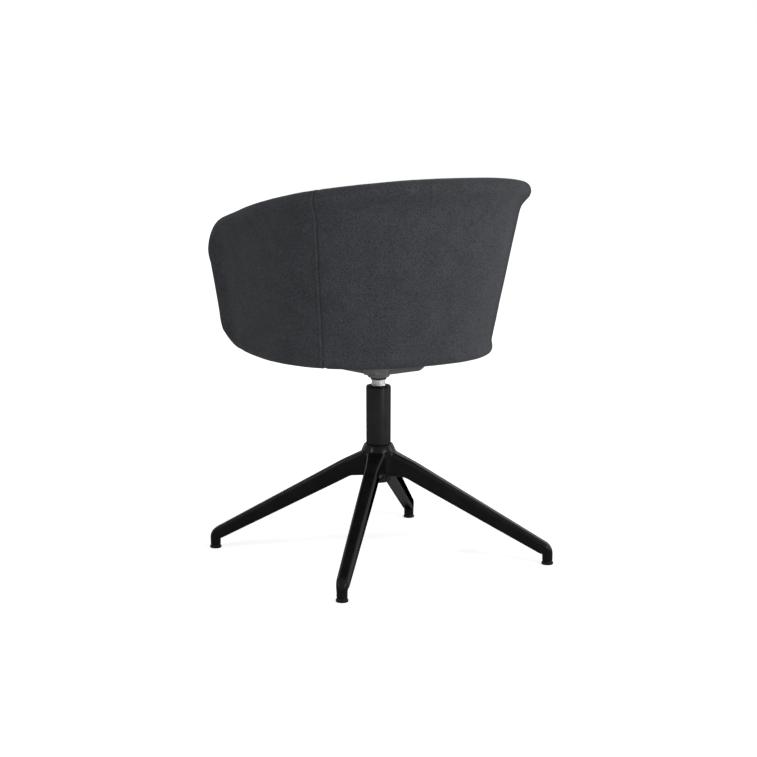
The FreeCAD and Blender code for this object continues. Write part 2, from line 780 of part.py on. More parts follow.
def make_seat_plate(doc, v):
    """The cast plate: a round boss with the spindle's socket, and four arms with bolt wells."""
    top = v.board_bottom
    outline = [V(0, 0, v.boss_bottom), V(v.boss_tip_radius, 0, v.boss_bottom)]
    outline += [V(v.boss_shoulder_radius, 0, v.boss_bottom + v.boss_tip_height)]
    outline += [V(v.boss_root_radius, 0, top), V(0, 0, top)]
    plate = flat_face(outline).revolve(ORIGIN, UP, 360)
    for step in range(int(v.leg_count)):
        arm = plate_arm(v)
        arm.rotate(ORIGIN, UP, v.first_leg_angle + step * 360 / v.leg_count)
        plate = plate.fuse(arm)
    plate = plate.removeSplitter()
    deep = v.spindle_top - v.boss_bottom + v.fit_clearance
    socket = Part.makeCylinder(v.spindle_radius + v.fit_clearance, deep, UP * v.boss_bottom, UP)
    plate = plate.cut(socket)
    seat = bolt_seat_height(v)
    for spot in bolt_spots(v, v.boss_bottom):
        plate = plate.cut(Part.makeCylinder(v.well_radius, seat - spot.z, spot, UP))
        plate = plate.cut(Part.makeCylinder(v.bolt_radius + v.bolt_hole_clearance, top - spot.z, spot, UP))
    return feature(doc, "seat_plate", plate)


# Base casting

def leg_section(width, depth, radius, centre, tilt):
    """A rounded rectangle across a leg, square to a run that slopes down by `tilt` degrees."""
    wide, high = width / 2 - radius, depth / 2 - radius
    right, left = V(0, 1, 0), V(0, -1, 0)
    points = swing(V(0, wide, high), radius, right, UP, CORNER_CHORD_COUNT)
    points += swing(V(0, -wide, high), radius, UP, left, CORNER_CHORD_COUNT)
    points += swing(V(0, -wide, -high), radius, left, UP * -1, CORNER_CHORD_COUNT)
    points += swing(V(0, wide, -high), radius, UP * -1, right, CORNER_CHORD_COUNT)
    return placed(points, FreeCAD.Placement(centre, FreeCAD.Rotation(V(0, 1, 0), tilt)))


def leg_top(v, x):
    """Height of a leg's top line at a distance from the axis."""
    return v.hub_top_height - (v.hub_top_height - v.leg_top_at_foot) * x / v.foot_circle_radius


def leg_depth(v, x):
    """Upright depth of a leg at a distance from the axis."""
    return v.leg_depth_at_axis - (v.leg_depth_at_axis - v.leg_depth_at_foot) * x / v.foot_circle_radius


def leg_middle(v, x):
    """Middle of a leg's depth at a distance from the axis."""
    return V(x, 0, leg_top(v, x) - leg_depth(v, x) / 2)


def leg_shape(v):
    """One leg along +X: a deep root in the hub, a long taper, and the bend down into a round foot."""
    reach = v.foot_circle_radius
    fall = leg_middle(v, 0).z - leg_middle(v, reach).z
    slope = math.atan2(fall, reach)
    tilt = math.degrees(slope)
    run_in = v.foot_bend_radius * math.tan((math.pi / 2 - slope) / 2)
    bend_start = reach - run_in * math.cos(slope)
    top, bottom = v.hub_top_height - v.leg_start_drop, v.hub_bottom + v.leg_start_rise
    start = V(v.leg_start_radius, 0, (top + bottom) / 2)
    root_depth = leg_depth(v, v.leg_root_radius) * math.cos(slope)
    tip_depth = leg_depth(v, bend_start) * math.cos(slope)
    sections = [
        leg_section(v.leg_start_width, top - bottom, v.leg_edge_radius, start, 0),
        leg_section(v.leg_width, root_depth, v.leg_edge_radius, leg_middle(v, v.leg_root_radius), tilt),
        leg_section(v.leg_tip_width, tip_depth, v.leg_edge_radius, leg_middle(v, bend_start), tilt),
    ]
    wide = 2 * v.foot_radius
    round_radius = v.foot_round_share * v.foot_radius
    bend_centre = V(reach - v.foot_bend_radius, 0, leg_middle(v, reach).z - run_in)
    for share in BEND_SHARES:
        turn = slope + (math.pi / 2 - slope) * share
        out = V(math.sin(turn), 0, math.cos(turn))
        depth = tip_depth + (wide - tip_depth) * share
        radius = v.leg_edge_radius + (round_radius - v.leg_edge_radius) * share
        width = v.leg_tip_width + (wide - v.leg_tip_width) * share
        spot = bend_centre + out * v.foot_bend_radius
        sections.append(leg_section(width, depth, radius, spot, math.degrees(turn)))
    sections.append(leg_section(wide, wide, round_radius, V(reach, 0, v.foot_bottom_height), 90))
    return skin(sections)


def make_base_casting(doc, v):
    """The cast base: a bored hub, and four legs with bored feet."""
    foot_height = v.hub_bottom + v.hub_foot_rise
    shoulder = v.hub_top_height - v.hub_collar_height
    outline = [V(0, 0, v.hub_bottom), V(v.hub_foot_radius, 0, v.hub_bottom)]
    outline += [V(v.hub_body_radius, 0, foot_height)]
    outline += [V(v.hub_body_radius, 0, shoulder - v.hub_shoulder_drop)]
    outline += [V(v.hub_collar_radius, 0, shoulder), V(v.hub_collar_radius, 0, v.hub_top_height)]
    outline += [V(0, 0, v.hub_top_height)]
    casting = flat_face(outline).revolve(ORIGIN, UP, 360)
    legs = []
    for step in range(int(v.leg_count)):
        leg = leg_shape(v)
        stem = Part.makeCylinder(v.glide_stem_radius + v.fit_clearance, v.glide_stem_length,
                                 V(v.foot_circle_radius, 0, v.foot_bottom_height), UP)
        leg = leg.cut(stem)
        leg.rotate(ORIGIN, UP, v.first_leg_angle + step * 360 / v.leg_count)
        legs.append(leg)
    casting = casting.multiFuse(legs)
    bore = Part.makeCylinder(v.column_radius + v.fit_clearance, v.hub_height, UP * v.hub_bottom, UP)
    casting = casting.cut(bore).removeSplitter()
    return feature(doc, "base_casting", casting)


def make_glides(doc, v):
    """Four plastic glides, each a rimmed pad with a stem pushed into its foot."""
    edge, stem = v.glide_edge, v.foot_bottom_height + v.glide_stem_length - v.glide_edge
    outline = [V(0, 0, 0), V(v.glide_radius - edge, 0, 0), V(v.glide_radius, 0, edge)]
    outline += [V(v.glide_radius, 0, v.foot_bottom_height)]
    outline += [V(v.glide_stem_radius, 0, v.foot_bottom_height), V(v.glide_stem_radius, 0, stem)]
    outline += [V(0, 0, stem)]
    glides = []
    for step in range(int(v.leg_count)):
        glide = flat_face(outline).revolve(ORIGIN, UP, 360)
        glide.translate(V(v.foot_circle_radius, 0, 0))
        glide.rotate(ORIGIN, UP, v.first_leg_angle + step * 360 / v.leg_count)
        glides.append(glide)
    return feature(doc, "glides", Part.makeCompound(glides))


# Column and spindle

def make_column(doc, v):
    """The column tube with its floor, the guide bush and the thrust washer on the floor."""
    floor_top = f"{COLUMN_FOOT} + Sizes.column_floor_thickness"
    pin_hole = "Sizes.pin_radius + Sizes.running_clearance"
    tube = turned_body(doc, "column_tube", [
        (pin_hole, COLUMN_FOOT),
        ("Sizes.column_radius", COLUMN_FOOT),
        ("Sizes.column_radius", COLUMN_TOP),
        ("Sizes.column_bore_radius", COLUMN_TOP),
        ("Sizes.column_bore_radius", floor_top),
        (pin_hole, floor_top),
    ])
    bush_low = "Sizes.hub_top_height - Sizes.bush_reach_in_hub"
    sleeve = "Sizes.column_bore_radius - Sizes.fit_clearance"
    bore = "Sizes.spindle_radius + Sizes.running_clearance"
    bush = turned_body(doc, "guide_bush", [
        (bore, bush_low),
        (sleeve, bush_low),
        (sleeve, COLUMN_TOP),
        ("Sizes.bush_cap_radius", COLUMN_TOP),
        ("Sizes.bush_cap_radius", CAP_TOP),
        (bore, CAP_TOP),
    ])
    chamfer_rings(doc, bush, "Sizes.bush_cap_edge", [(v.bush_cap_radius, v.cap_top)])
    washer = ring(doc, "thrust_washer", "Sizes.thrust_washer_radius", "Sizes.thrust_washer_bore_radius",
                  floor_top, "Sizes.thrust_washer_thickness")
    return [tube, bush, washer]


def make_spindle(doc):
    """The spindle: a shaft in the bush, a pin through the column's floor and a groove for the clip."""
    shoulder = (f"{COLUMN_FOOT} + Sizes.column_floor_thickness + Sizes.thrust_washer_thickness"
                " + Sizes.running_clearance")
    groove_top = f"{COLUMN_FOOT} - Sizes.clip_gap"
    groove = f"{groove_top} - Sizes.pin_groove_height"
    pin_bottom = f"{groove} - Sizes.pin_end_length"
    groove_radius = "Sizes.pin_radius - Sizes.pin_groove_depth"
    spindle = turned_body(doc, "spindle", [
        (None, pin_bottom),
        ("Sizes.pin_radius", pin_bottom),
        ("Sizes.pin_radius", groove),
        (groove_radius, groove),
        (groove_radius, groove_top),
        ("Sizes.pin_radius", groove_top),
        ("Sizes.pin_radius", shoulder),
        ("Sizes.spindle_radius", shoulder),
        ("Sizes.spindle_radius", SPINDLE_TOP),
        (None, SPINDLE_TOP),
    ])
    clip = ring(doc, "retaining_clip", "Sizes.clip_radius", f"{groove_radius} + Sizes.fit_clearance",
                f"{groove} + Sizes.fit_clearance", "Sizes.pin_groove_height - 2 * Sizes.fit_clearance")
    dust_ring = ring(doc, "dust_ring", "Sizes.ring_radius", "Sizes.spindle_radius + Sizes.fit_clearance",
                     f"{BOSS_BOTTOM} - Sizes.ring_thickness", "Sizes.ring_thickness")
    return [spindle, clip, dust_ring]


def main():
    """Build every sub-part, check it and write its STEP file."""
    doc = FreeCAD.newDocument("swivel_chair")
    v = fill_sheet(doc)
    parts = [make_base_casting(doc, v), make_glides(doc, v)] + make_column(doc, v) + make_spindle(doc)
    parts += [make_seat_plate(doc, v), make_plate_bolts(doc, v), make_seat_board(doc, v)]
    parts += [make_shell_core(doc, v), make_shell_foam(doc, v)]
    parts += [make_outer_back_cover(doc, v), make_side_cover(doc, v, "left_side_cover", 1)]
    parts += [make_side_cover(doc, v, "right_side_cover", -1), make_inner_cover(doc, v)]
    parts += [make_seat_foam(doc, v), make_seat_cover(doc, v), make_seat_front_cover(doc, v)]
    parts += [make_underside_felt(doc, v)]
    doc.recompute()
    for item in doc.Objects:
        if "Invalid" in item.State or "Error" in item.State:
            raise RuntimeError(f"{item.Label} is {item.State}")
    os.makedirs("parts", exist_ok=True)
    for part in parts:
        shape = part.Shape
        if shape.isNull() or not shape.isValid():
            raise RuntimeError(f"{part.Label} has no valid shape")
        print(part.Label, len(shape.Solids), round(shape.Volume), len(shape.Faces))
        shape.exportStep(f"parts/{part.Label}.step")


main()
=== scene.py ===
"""The looks of a swivel tub chair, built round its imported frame."""
import json
import logging
import math
from dataclasses import dataclass, field
from enum import Enum
from typing import NamedTuple, Sequence

import bmesh
import bpy
import numpy as np
from bpy.types import ID, Material, Mesh, Node, NodeSocket, NodeTree, Object
from mathutils import Matrix, Vector


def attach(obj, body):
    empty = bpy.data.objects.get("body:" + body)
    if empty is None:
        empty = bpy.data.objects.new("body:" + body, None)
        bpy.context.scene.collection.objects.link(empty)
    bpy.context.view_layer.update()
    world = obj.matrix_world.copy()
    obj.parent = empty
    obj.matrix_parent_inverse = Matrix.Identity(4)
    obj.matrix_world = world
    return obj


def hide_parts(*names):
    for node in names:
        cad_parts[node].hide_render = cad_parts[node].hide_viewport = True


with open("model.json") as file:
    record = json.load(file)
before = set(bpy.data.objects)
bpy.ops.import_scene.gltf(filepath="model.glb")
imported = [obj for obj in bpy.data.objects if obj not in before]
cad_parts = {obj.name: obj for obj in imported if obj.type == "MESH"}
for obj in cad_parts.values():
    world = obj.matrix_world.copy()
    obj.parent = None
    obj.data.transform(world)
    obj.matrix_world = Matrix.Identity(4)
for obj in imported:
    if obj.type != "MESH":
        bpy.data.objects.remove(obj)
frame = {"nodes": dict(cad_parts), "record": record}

Grid = np.ndarray
Colour = tuple[float, float, float]
Span = tuple[float, float]
Book = dict[str, Material]
LOG = logging.getLogger("tub_chair")
MM = 0.001
NEAR_AXIS = 0.1 * MM
LEG_TURNS = [math.radians(45 + 90 * number) for number in range(4)]


class Side(Enum):
    """The two arms, by the sign of their X."""

    LEFT = 1
    RIGHT = -1


class Part(Enum):
    """Names of the CAD bodies that pieces ride on."""

    BASE = "base"
    SEAT = "seat"


# Colour and node tools


def linear(red: int, green: int, blue: int) -> Colour:
    """A screen colour of 0 to 255 as scene-linear values.

    Args:
        red: the red level.
        green: the green level.
        blue: the blue level.

    Returns:
        The linear red, green and blue.
    """
    levels = [level / 255 for level in (red, green, blue)]
    return tuple(v / 12.92 if v <= 0.04045 else ((v + 0.055) / 1.055) ** 2.4 for v in levels)


def lifted(colour: Colour, times: float, plus: float = 0.0) -> Colour:
    """A colour made paler.

    Args:
        colour: the colour.
        times: what each level is multiplied by.
        plus: what is added to each level.

    Returns:
        The paler colour.
    """
    return tuple(min(1.0, level * times + plus) for level in colour)


class Noise(NamedTuple):
    """A noise: its features to the metre, octaves, how much the fine ones count, and a scale by axis."""

    scale: float
    detail: float
    rough: float
    stretch: Colour | None = None


class NodeSheet:
    """A material's node tree with short calls to add and join nodes."""

    def __init__(self, name: str) -> None:
        """Start a material with its surface shader.

        Args:
            name: the material's name.
        """
        self.material = bpy.data.materials.new(name)
        self.material.use_nodes = True
        self.tree = self.material.node_tree
        self.shader = self.tree.nodes["Principled BSDF"]

    def add(self, kind: str, **settings: object) -> Node:
        """Add a node.

        Args:
            kind: the node's type name.
            settings: attributes, or inputs where the name is an input's with underscores for spaces.

        Returns:
            The node.
        """
        node = self.tree.nodes.new(kind)
        for key, value in settings.items():
            socket = key.replace("_", " ").title()
            if hasattr(node, key):
                setattr(node, key, value)
            else:
                node.inputs[socket].default_value = value
        return node

    def join(self, source: NodeSocket, target: NodeSocket) -> None:
        """Link two sockets."""
        self.tree.links.new(source, target)

    def noise(self, scale: float, detail: float, rough: float,
              stretch: Colour | None = None) -> NodeSocket:
        """A noise on Object coordinates.

        Args:
            scale: features to the metre.
            detail: octaves.
            rough: how much the fine octaves count.
            stretch: a scale for each axis, where the features are longer one way.

        Returns:
            The noise's value socket.
        """
        place = self.add("ShaderNodeTexCoord").outputs["Object"]
        if stretch is not None:
            mapping = self.add("ShaderNodeMapping")
            mapping.inputs["Scale"].default_value = stretch
            self.join(place, mapping.inputs["Vector"])
            place = mapping.outputs["Vector"]
        node = self.add("ShaderNodeTexNoise", scale=scale, detail=detail, roughness=rough)
        self.join(place, node.inputs["Vector"])
        return node.outputs["Fac"]

    def blend(self, factor: NodeSocket, low: Sequence[float], high: Sequence[float],
              start: float = 0.3, end: float = 0.7) -> NodeSocket:
        """A ramp between two colours.

        Args:
            factor: what drives the ramp.
            low: the colour at its start.
            high: the colour at its end.
            start: where the ramp starts.
            end: where it ends.

        Returns:
            The ramp's colour socket.
        """
        ramp = self.add("ShaderNodeValToRGB")
        ramp.color_ramp.elements[0].position = start
        ramp.color_ramp.elements[1].position = end
        ramp.color_ramp.elements[0].color = (*low, 1)
        ramp.color_ramp.elements[1].color = (*high, 1)
        self.join(factor, ramp.inputs["Fac"])
        return ramp.outputs["Color"]

    def mix(self, first: NodeSocket, second: NodeSocket,
            share: float | NodeSocket, mode: str = "MIX") -> NodeSocket:
        """Mix two colours.

        Args:
            first: the colour underneath.
            second: the colour on top.
            share: how much of the second.
            mode: the blend mode.

        Returns:
            The mixed colour's socket.
        """
        node = self.add("ShaderNodeMix", data_type="RGBA", blend_type=mode)
        if isinstance(share, float):
            node.inputs["Factor"].default_value = share
        else:
            self.join(share, node.inputs["Factor"])
        self.join(first, node.inputs["A"])
        self.join(second, node.inputs["B"])
        return node.outputs["Result"]

    def ranged(self, source: NodeSocket, low: float, high: float, start: float = 0.0,
               end: float = 1.0, curve: str = "LINEAR") -> NodeSocket:
        """Turn a value between two limits into a value between two others.

        Args:
            source: the value.
            low: what it becomes at the lower limit.
            high: what it becomes at the upper limit.
            start: the lower limit.
            end: the upper limit.
            curve: how it runs between them.

        Returns:
            The new value's socket.
        """
        node = self.add("ShaderNodeMapRange", interpolation_type=curve)
        for key, value in (("From Min", start), ("From Max", end), ("To Min", low), ("To Max", high)):
            node.inputs[key].default_value = value
        self.join(source, node.inputs["Value"])
        return node.outputs["Result"]

    def turned(self, start: float, end: float, least: float) -> NodeSocket:
        """A value of 1 where the surface faces the camera that falls where it turns away: the mask of the
        painted shade at the edges.

        Args:
            start: how far it has turned where the fall starts, 1 being edge on.
            end: how far it has turned where the fall ends.
            least: the value there.

        Returns:
            The value's socket.
        """
        facing = self.add("ShaderNodeLayerWeight", blend=0.5).outputs["Facing"]
        return self.ranged(facing, 1.0, least, start, end)

    def shaded(self, colour: NodeSocket, value: NodeSocket) -> NodeSocket:
        """A colour multiplied by a value, which paints shade where the value is under one.

        Args:
            colour: the colour.
            value: the value.

        Returns:
            The product's socket.
        """
        node = self.add("ShaderNodeVectorMath", operation="SCALE")
        self.join(colour, node.inputs[0])
        self.join(value, node.inputs["Scale"])
        return node.outputs["Vector"]

    def coat(self, colour: NodeSocket, fade: Span, shine: float) -> None:
        """Join a colour and a gloss with painted shade at the edges: both fall to nothing where the surface
        turns away.

        Args:
            colour: the colour.
            fade: how far the surface has turned where the painted edge shade starts and where it has made
                colour and gloss black.
            shine: the gloss where it faces the camera.
        """
        # painted shade: colour and gloss darken to black where the surface turns edge on to the camera
        kept = self.turned(*fade, 0.0)
        self.finish(base_color=self.shaded(colour, kept), specular_ior_level=self.ranged(kept, 0, shine))

    def bumps(self, layers: Sequence[tuple[NodeSocket, float, float]]) -> None:
        """Stack bumps on the surface.

        Args:
            layers: height socket, strength and height in metres of each bump.
        """
        last = None
        for height, strength, distance in layers:
            bump = self.add("ShaderNodeBump")
            bump.inputs["Strength"].default_value = strength
            bump.inputs["Distance"].default_value = distance
            self.join(height, bump.inputs["Height"])
            if last is not None:
                self.join(last, bump.inputs["Normal"])
            last = bump.outputs["Normal"]
        self.finish(normal=last)

    def finish(self, **levels: object) -> Material:
        """Set or link the surface shader's sockets.

        Args:
            levels: values or sockets by input name, with underscores for spaces.

        Returns:
            The material.
        """
        for key, value in levels.items():
            socket = self.shader.inputs[key.replace("_", " ").title().replace("Ior", "IOR")]
            if isinstance(value, NodeSocket):
                self.join(value, socket)
            else:
                socket.default_value = value
        return self.material


# Finishes


@dataclass(frozen=True)
class MelangeCloth:
    """Felted wool cloth spun from darker and paler grey fibres, with painted shade at its edges."""

    name: str = "charcoal_cloth"
    dark: Colour = linear(46, 47, 50)
    middle: Colour = linear(67, 68, 72)
    pale: Colour = linear(92, 94, 99)
    clumps: Noise = Noise(300, 3, 0.7)
    fibres: Noise = Noise(1100, 3, 0.7)
    patches: Noise = Noise(22, 3, 0.6)
    clump_span: Span = (0.4, 0.58)
    fibre_span: Span = (0.5, 0.68)
    patch_span: Span = (0.35, 0.65)
    patch_shades: Span = (0.9, 1.08)
    # painted shade: how far the cloth has turned where its colour starts to darken, where it is darkest, and
    # how dark it gets
    fade: tuple[float, float, float] = (0.72, 0.95, 0.25)
    rough: Span = (0.86, 1.0)
    clump_bump: Span = (0.5, 0.5 * MM)
    fibre_bump: Span = (0.6, 0.25 * MM)
    sheen: Colour = (0.7, 0.72, 0.78)

    def make(self) -> Material:
        """Build the cloth's material."""
        sheet = NodeSheet(self.name)
        clumps, fibres, patches = (sheet.noise(*noise) for noise in (self.clumps, self.fibres, self.patches))
        body = sheet.blend(clumps, self.dark, self.middle, *self.clump_span)
        flecks = sheet.blend(fibres, (0, 0, 0), (1, 1, 1), *self.fibre_span)
        pale = sheet.add("ShaderNodeRGB")
        pale.outputs[0].default_value = (*self.pale, 1)
        shade = sheet.blend(patches, *((level,) * 3 for level in self.patch_shades), *self.patch_span)
        colour = sheet.mix(sheet.mix(body, pale.outputs[0], flecks), shade, 1.0, "MULTIPLY")
        sheet.bumps([(clumps, *self.clump_bump), (fibres, *self.fibre_bump)])
        # painted shade: the cloth's colour is darkened where it turns away from the camera
        return sheet.finish(
            base_color=sheet.shaded(colour, sheet.turned(*self.fade)),
            roughness=sheet.ranged(fibres, *self.rough), specular_ior_level=0.2,
            sheen_weight=0.08, sheen_roughness=0.5, sheen_tint=(*self.sheen, 1))


@dataclass(frozen=True)
class PowderCoat:
    """Fine-textured powder coat on cast or drawn metal, a little rubbed, with painted shade at its edges."""

    name: str
    colour: Colour
    rough: Span
    shine: float
    # painted shade: how far the surface has turned where colour and gloss start to darken and where they are
    # black
    fade: Span = (0.68, 0.8)
    grain: Noise = Noise(1900, 2, 0.5)
    cloud: Noise = Noise(30, 3, 0.5)
    cloud_span: Span = (0.35, 0.75)
    rubbed: Span = (1.35, 0.002)
    peel: Span = (0.35, 0.05 * MM)

    def make(self) -> Material:
        """Build the coat's material."""
        sheet = NodeSheet(self.name)
        grain, cloud = sheet.noise(*self.grain), sheet.noise(*self.cloud)
        colour = sheet.blend(cloud, self.colour, lifted(self.colour, *self.rubbed), *self.cloud_span)
        # painted shade towards the silhouette
        sheet.coat(colour, self.fade, self.shine)
        sheet.bumps([(grain, *self.peel)])
        return sheet.finish(roughness=sheet.ranged(cloud, *self.rough))


@dataclass(frozen=True)
class MouldedPlastic:
    """Moulded plastic or rubber with a fine spark texture and painted shade at its edges."""

    name: str
    colour: Colour
    rough: float
    shine: float = 0.16
    # painted shade: how far the surface has turned where colour and gloss start to darken and where they are
    # black
    fade: Span = (0.55, 0.85)
    grain: Noise = Noise(2600, 2, 0.6)
    cloud: Noise = Noise(60, 2, 0.5)
    worn: Span = (1.25, 0.001)
    rough_span: Span = (-0.06, 0.08)
    spark: Span = (0.3, 0.04 * MM)

    def make(self) -> Material:
        """Build the plastic's material."""
        sheet = NodeSheet(self.name)
        grain, cloud = sheet.noise(*self.grain), sheet.noise(*self.cloud)
        colour = sheet.blend(cloud, self.colour, lifted(self.colour, *self.worn))
        # painted shade towards the silhouette
        sheet.coat(colour, self.fade, self.shine)
        low, high = (self.rough + change for change in self.rough_span)
        sheet.bumps([(grain, *self.spark)])
        return sheet.finish(roughness=sheet.ranged(grain, low, high))


@dataclass(frozen=True)
class TurnedSteel:
    """Bright metal with fine turning marks round the axis."""

    name: str
    colour: Colour
    rough: float
    metal: float = 1.0
    marks: Noise = Noise(90, 3, 0.6, (0.4, 0.4, 60))
    bright: float = 1.12
    rough_span: Span = (-0.08, 0.1)
    mark_bump: Span = (0.12, 0.03 * MM)

    def make(self) -> Material:
        """Build the metal's material."""
        sheet = NodeSheet(self.name)
        marks = sheet.noise(*self.marks)
        colour = sheet.blend(marks, self.colour, lifted(self.colour, self.bright))
        low, high = (self.rough + change for change in self.rough_span)
        sheet.bumps([(marks, *self.mark_bump)])
        return sheet.finish(base_color=colour, roughness=sheet.ranged(marks, low, high), metallic=self.metal)


@dataclass(frozen=True)
class Plywood:
    """Plywood with its plies on edge."""

    name: str = "plywood"
    pale: Colour = linear(206, 176, 134)
    brown: Colour = linear(168, 132, 92)
    plies: Noise = Noise(30, 2, 0.5, (0.3, 0.3, 22))
    grain: Noise = Noise(60, 4, 0.6, (0.2, 4, 1))
    ply_span: Span = (0.4, 0.6)
    streak_shades: Span = (0.8, 1.1)
    grain_bump: Span = (0.2, 0.1 * MM)

    def make(self) -> Material:
        """Build the wood's material."""
        sheet = NodeSheet(self.name)
        plies, grain = sheet.noise(*self.plies), sheet.noise(*self.grain)
        body = sheet.blend(plies, self.pale, self.brown, *self.ply_span)
        streaks = sheet.blend(grain, *((level,) * 3 for level in self.streak_shades))
        sheet.bumps([(grain, *self.grain_bump)])
        return sheet.finish(base_color=sheet.mix(body, streaks, 1.0, "MULTIPLY"), roughness=0.6)


@dataclass(frozen=True)
class Felt:
    """Needle-punched felt or moulded foam: short matted fibres or fine cells."""

    name: str
    dark: Colour
    pale: Colour
    cells: float = 900
    mat_bump: Span = (0.6, 0.3 * MM)

    def make(self) -> Material:
        """Build the felt's material."""
        sheet = NodeSheet(self.name)
        mat = sheet.noise(self.cells, 4, 0.7)
        sheet.bumps([(mat, *self.mat_bump)])
        return sheet.finish(base_color=sheet.blend(mat, self.dark, self.pale), roughness=0.95,
                            specular_ior_level=0.15)


@dataclass(frozen=True)
class FinishBook:
    """Every finish of the chair, made once, by slot name."""

    book: Book

    @staticmethod
    def make() -> "FinishBook":
        """Build every finish."""
        # The cloth, the powder coats and the plastics carry painted shade at their edges; a span after the
        # shine sets where it starts and where it is full.
        finishes = [
            MelangeCloth(),
            PowderCoat("black_casting", linear(18, 18, 19), (0.2, 0.28), 0.1),
            # painted edge shade from (0.4, 0.75) on the column tube
            PowderCoat("black_tube", linear(24, 24, 24), (0.3, 0.38), 0.2, (0.4, 0.75)),
            MouldedPlastic("black_plastic", linear(12, 12, 13), 0.3),
            MouldedPlastic("glide_plastic", linear(14, 14, 15), 0.5),
            MouldedPlastic("washer_plastic", linear(206, 204, 196), 0.45, 0.4),
            TurnedSteel("spindle_steel", (0.88, 0.88, 0.87), 0.42, 0.5),
            MouldedPlastic("ring_rubber", linear(8, 8, 8), 0.7, 0.08),
            # painted edge shade from (0.8, 0.98) on the seat plate
            PowderCoat("grey_casting", linear(112, 112, 113), (0.34, 0.46), 0.4, (0.8, 0.98)),
            TurnedSteel("bolt_steel", (0.32, 0.32, 0.33), 0.35),
            Plywood(),
            MouldedPlastic("core_plastic", linear(60, 60, 60), 0.6),
            Felt("foam", linear(222, 216, 196), linear(238, 233, 216), 700),
            Felt("felt", linear(34, 34, 36), linear(56, 56, 59)),
            Felt("thread", linear(44, 45, 49), linear(70, 71, 76), 3000),
        ]
        return FinishBook({finish.name: finish.make() for finish in finishes})

    def dress_nodes(self) -> None:
        """Give every CAD node the finish of its slot."""
        for row in frame["record"]["subparts"]:
            slots = frame["nodes"][row["node"]].data.materials
            if len(slots) == 0:
                slots.append(None)
            for index in range(len(slots)):
                slots[index] = self.book[row["material_slot"]]


# Mesh tools


def in_scene(name: str, data: ID) -> Object:
    """Put a mesh, a lamp or a camera in the scene.

    Args:
        name: the object's name.
        data: its mesh, lamp or camera.

    Returns:
        The object.
    """
    placed = bpy.data.objects.new(name, data)
    bpy.context.scene.collection.objects.link(placed)
    return placed


def smooth_faces(mesh: Mesh) -> None:
    """Shade every face of a mesh smooth."""
    mesh.polygons.foreach_set("use_smooth", [True] * len(mesh.polygons))


def piece_of(name: str, mesh: Mesh, material: Material) -> Object:
    """Put a mesh in the scene as a smooth piece at the origin.

    Args:
        name: the piece's name.
        mesh: its mesh, with its place in its vertices.
        material: its finish.

    Returns:
        The piece.
    """
    mesh.materials.clear()
    mesh.materials.append(material)
    smooth_faces(mesh)
    return in_scene(name, mesh)


def settle(piece: Object, body: Part, nodes: Sequence[str] = ()) -> None:
    """Attach a finished piece to the CAD body that it rides on, hide the CAD nodes that it stands for, and
    log its faces.

    Args:
        piece: the piece.
        body: the CAD body that it moves with.
        nodes: the CAD nodes that it stands for.
    """
    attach(piece, body.value)
    if nodes:
        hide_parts(*nodes)
    LOG.info("%s: %d faces on %s", piece.name, len(piece.data.polygons), body.value)


def apply_modifiers(piece: Object) -> None:
    """Turn a piece's modifiers into plain mesh.

    Args:
        piece: the piece.
    """
    graph = bpy.context.evaluated_depsgraph_get()
    mesh = bpy.data.meshes.new_from_object(piece.evaluated_get(graph))
    piece.modifiers.clear()
    piece.data = mesh


def thicken(piece: Object, thickness: float, offset: float) -> None:
    """Give a cloth its thickness.

    Args:
        piece: the cloth.
        thickness: how thick it is.
        offset: 0 for half on each side of its face, -1 for all of it behind.
    """
    shell = piece.modifiers.new("cloth", "SOLIDIFY")
    shell.thickness, shell.offset = thickness, offset
    apply_modifiers(piece)


def bore(piece: Object, holes: Sequence[tuple[float, ...]], steps: int,
         material: Material) -> None:
    """Cut round holes up through a piece, and keep the result as plain mesh.

    Args:
        piece: the piece.
        holes: radius, bottom, top, distance from the axis and direction of each hole.
        steps: segments round each hole.
        material: the piece's finish.
    """
    tools = []
    for radius, low, high, distance, angle in holes:
        corners = [(NEAR_AXIS, low, 0), (radius, low, 0), (radius, high, 0), (NEAR_AXIS, high, 0)]
        tool = in_scene("hole", lathe("hole", corners, steps))
        tool.location = (distance * math.cos(angle), distance * math.sin(angle), 0)
        cut = piece.modifiers.new("hole", "BOOLEAN")
        cut.operation, cut.object, cut.solver = "DIFFERENCE", tool, "FAST"
        tools.append(tool)
    bpy.context.view_layer.update()
    apply_modifiers(piece)
    for tool in tools:
        bpy.data.objects.remove(tool)
    piece.data.materials.clear()
    piece.data.materials.append(material)


def copies(name: str, single: Mesh, places: Sequence[Matrix]) -> Mesh:
    """One mesh with a copy of another at every place.

    Args:
        name: the new mesh's name.
        single: the mesh to copy.
        places: where each copy goes.

    Returns:
        The joined mesh.
    """
    work = bmesh.new()
    for place in places:
        copy = single.copy()
        copy.transform(place)
        work.from_mesh(copy)
        bpy.data.meshes.remove(copy)
    mesh = bpy.data.meshes.new(name)
    work.to_mesh(mesh)
    work.free()
    return mesh


def clean(mesh: Mesh, merge: float = 0.0) -> None:
    """Turn a mesh's faces outwards, once its doubles are merged.

    Args:
        mesh: the mesh.
        merge: how close two vertices are that become one, or nothing where none do.
    """
    work = bmesh.new()
    work.from_mesh(mesh)
    if merge:
        bmesh.ops.remove_doubles(work, verts=work.verts, dist=merge)
        bmesh.ops.dissolve_degenerate(work, edges=work.edges, dist=merge / 2)
    bmesh.ops.recalc_face_normals(work, faces=work.faces)
    work.to_mesh(mesh)
    work.free()


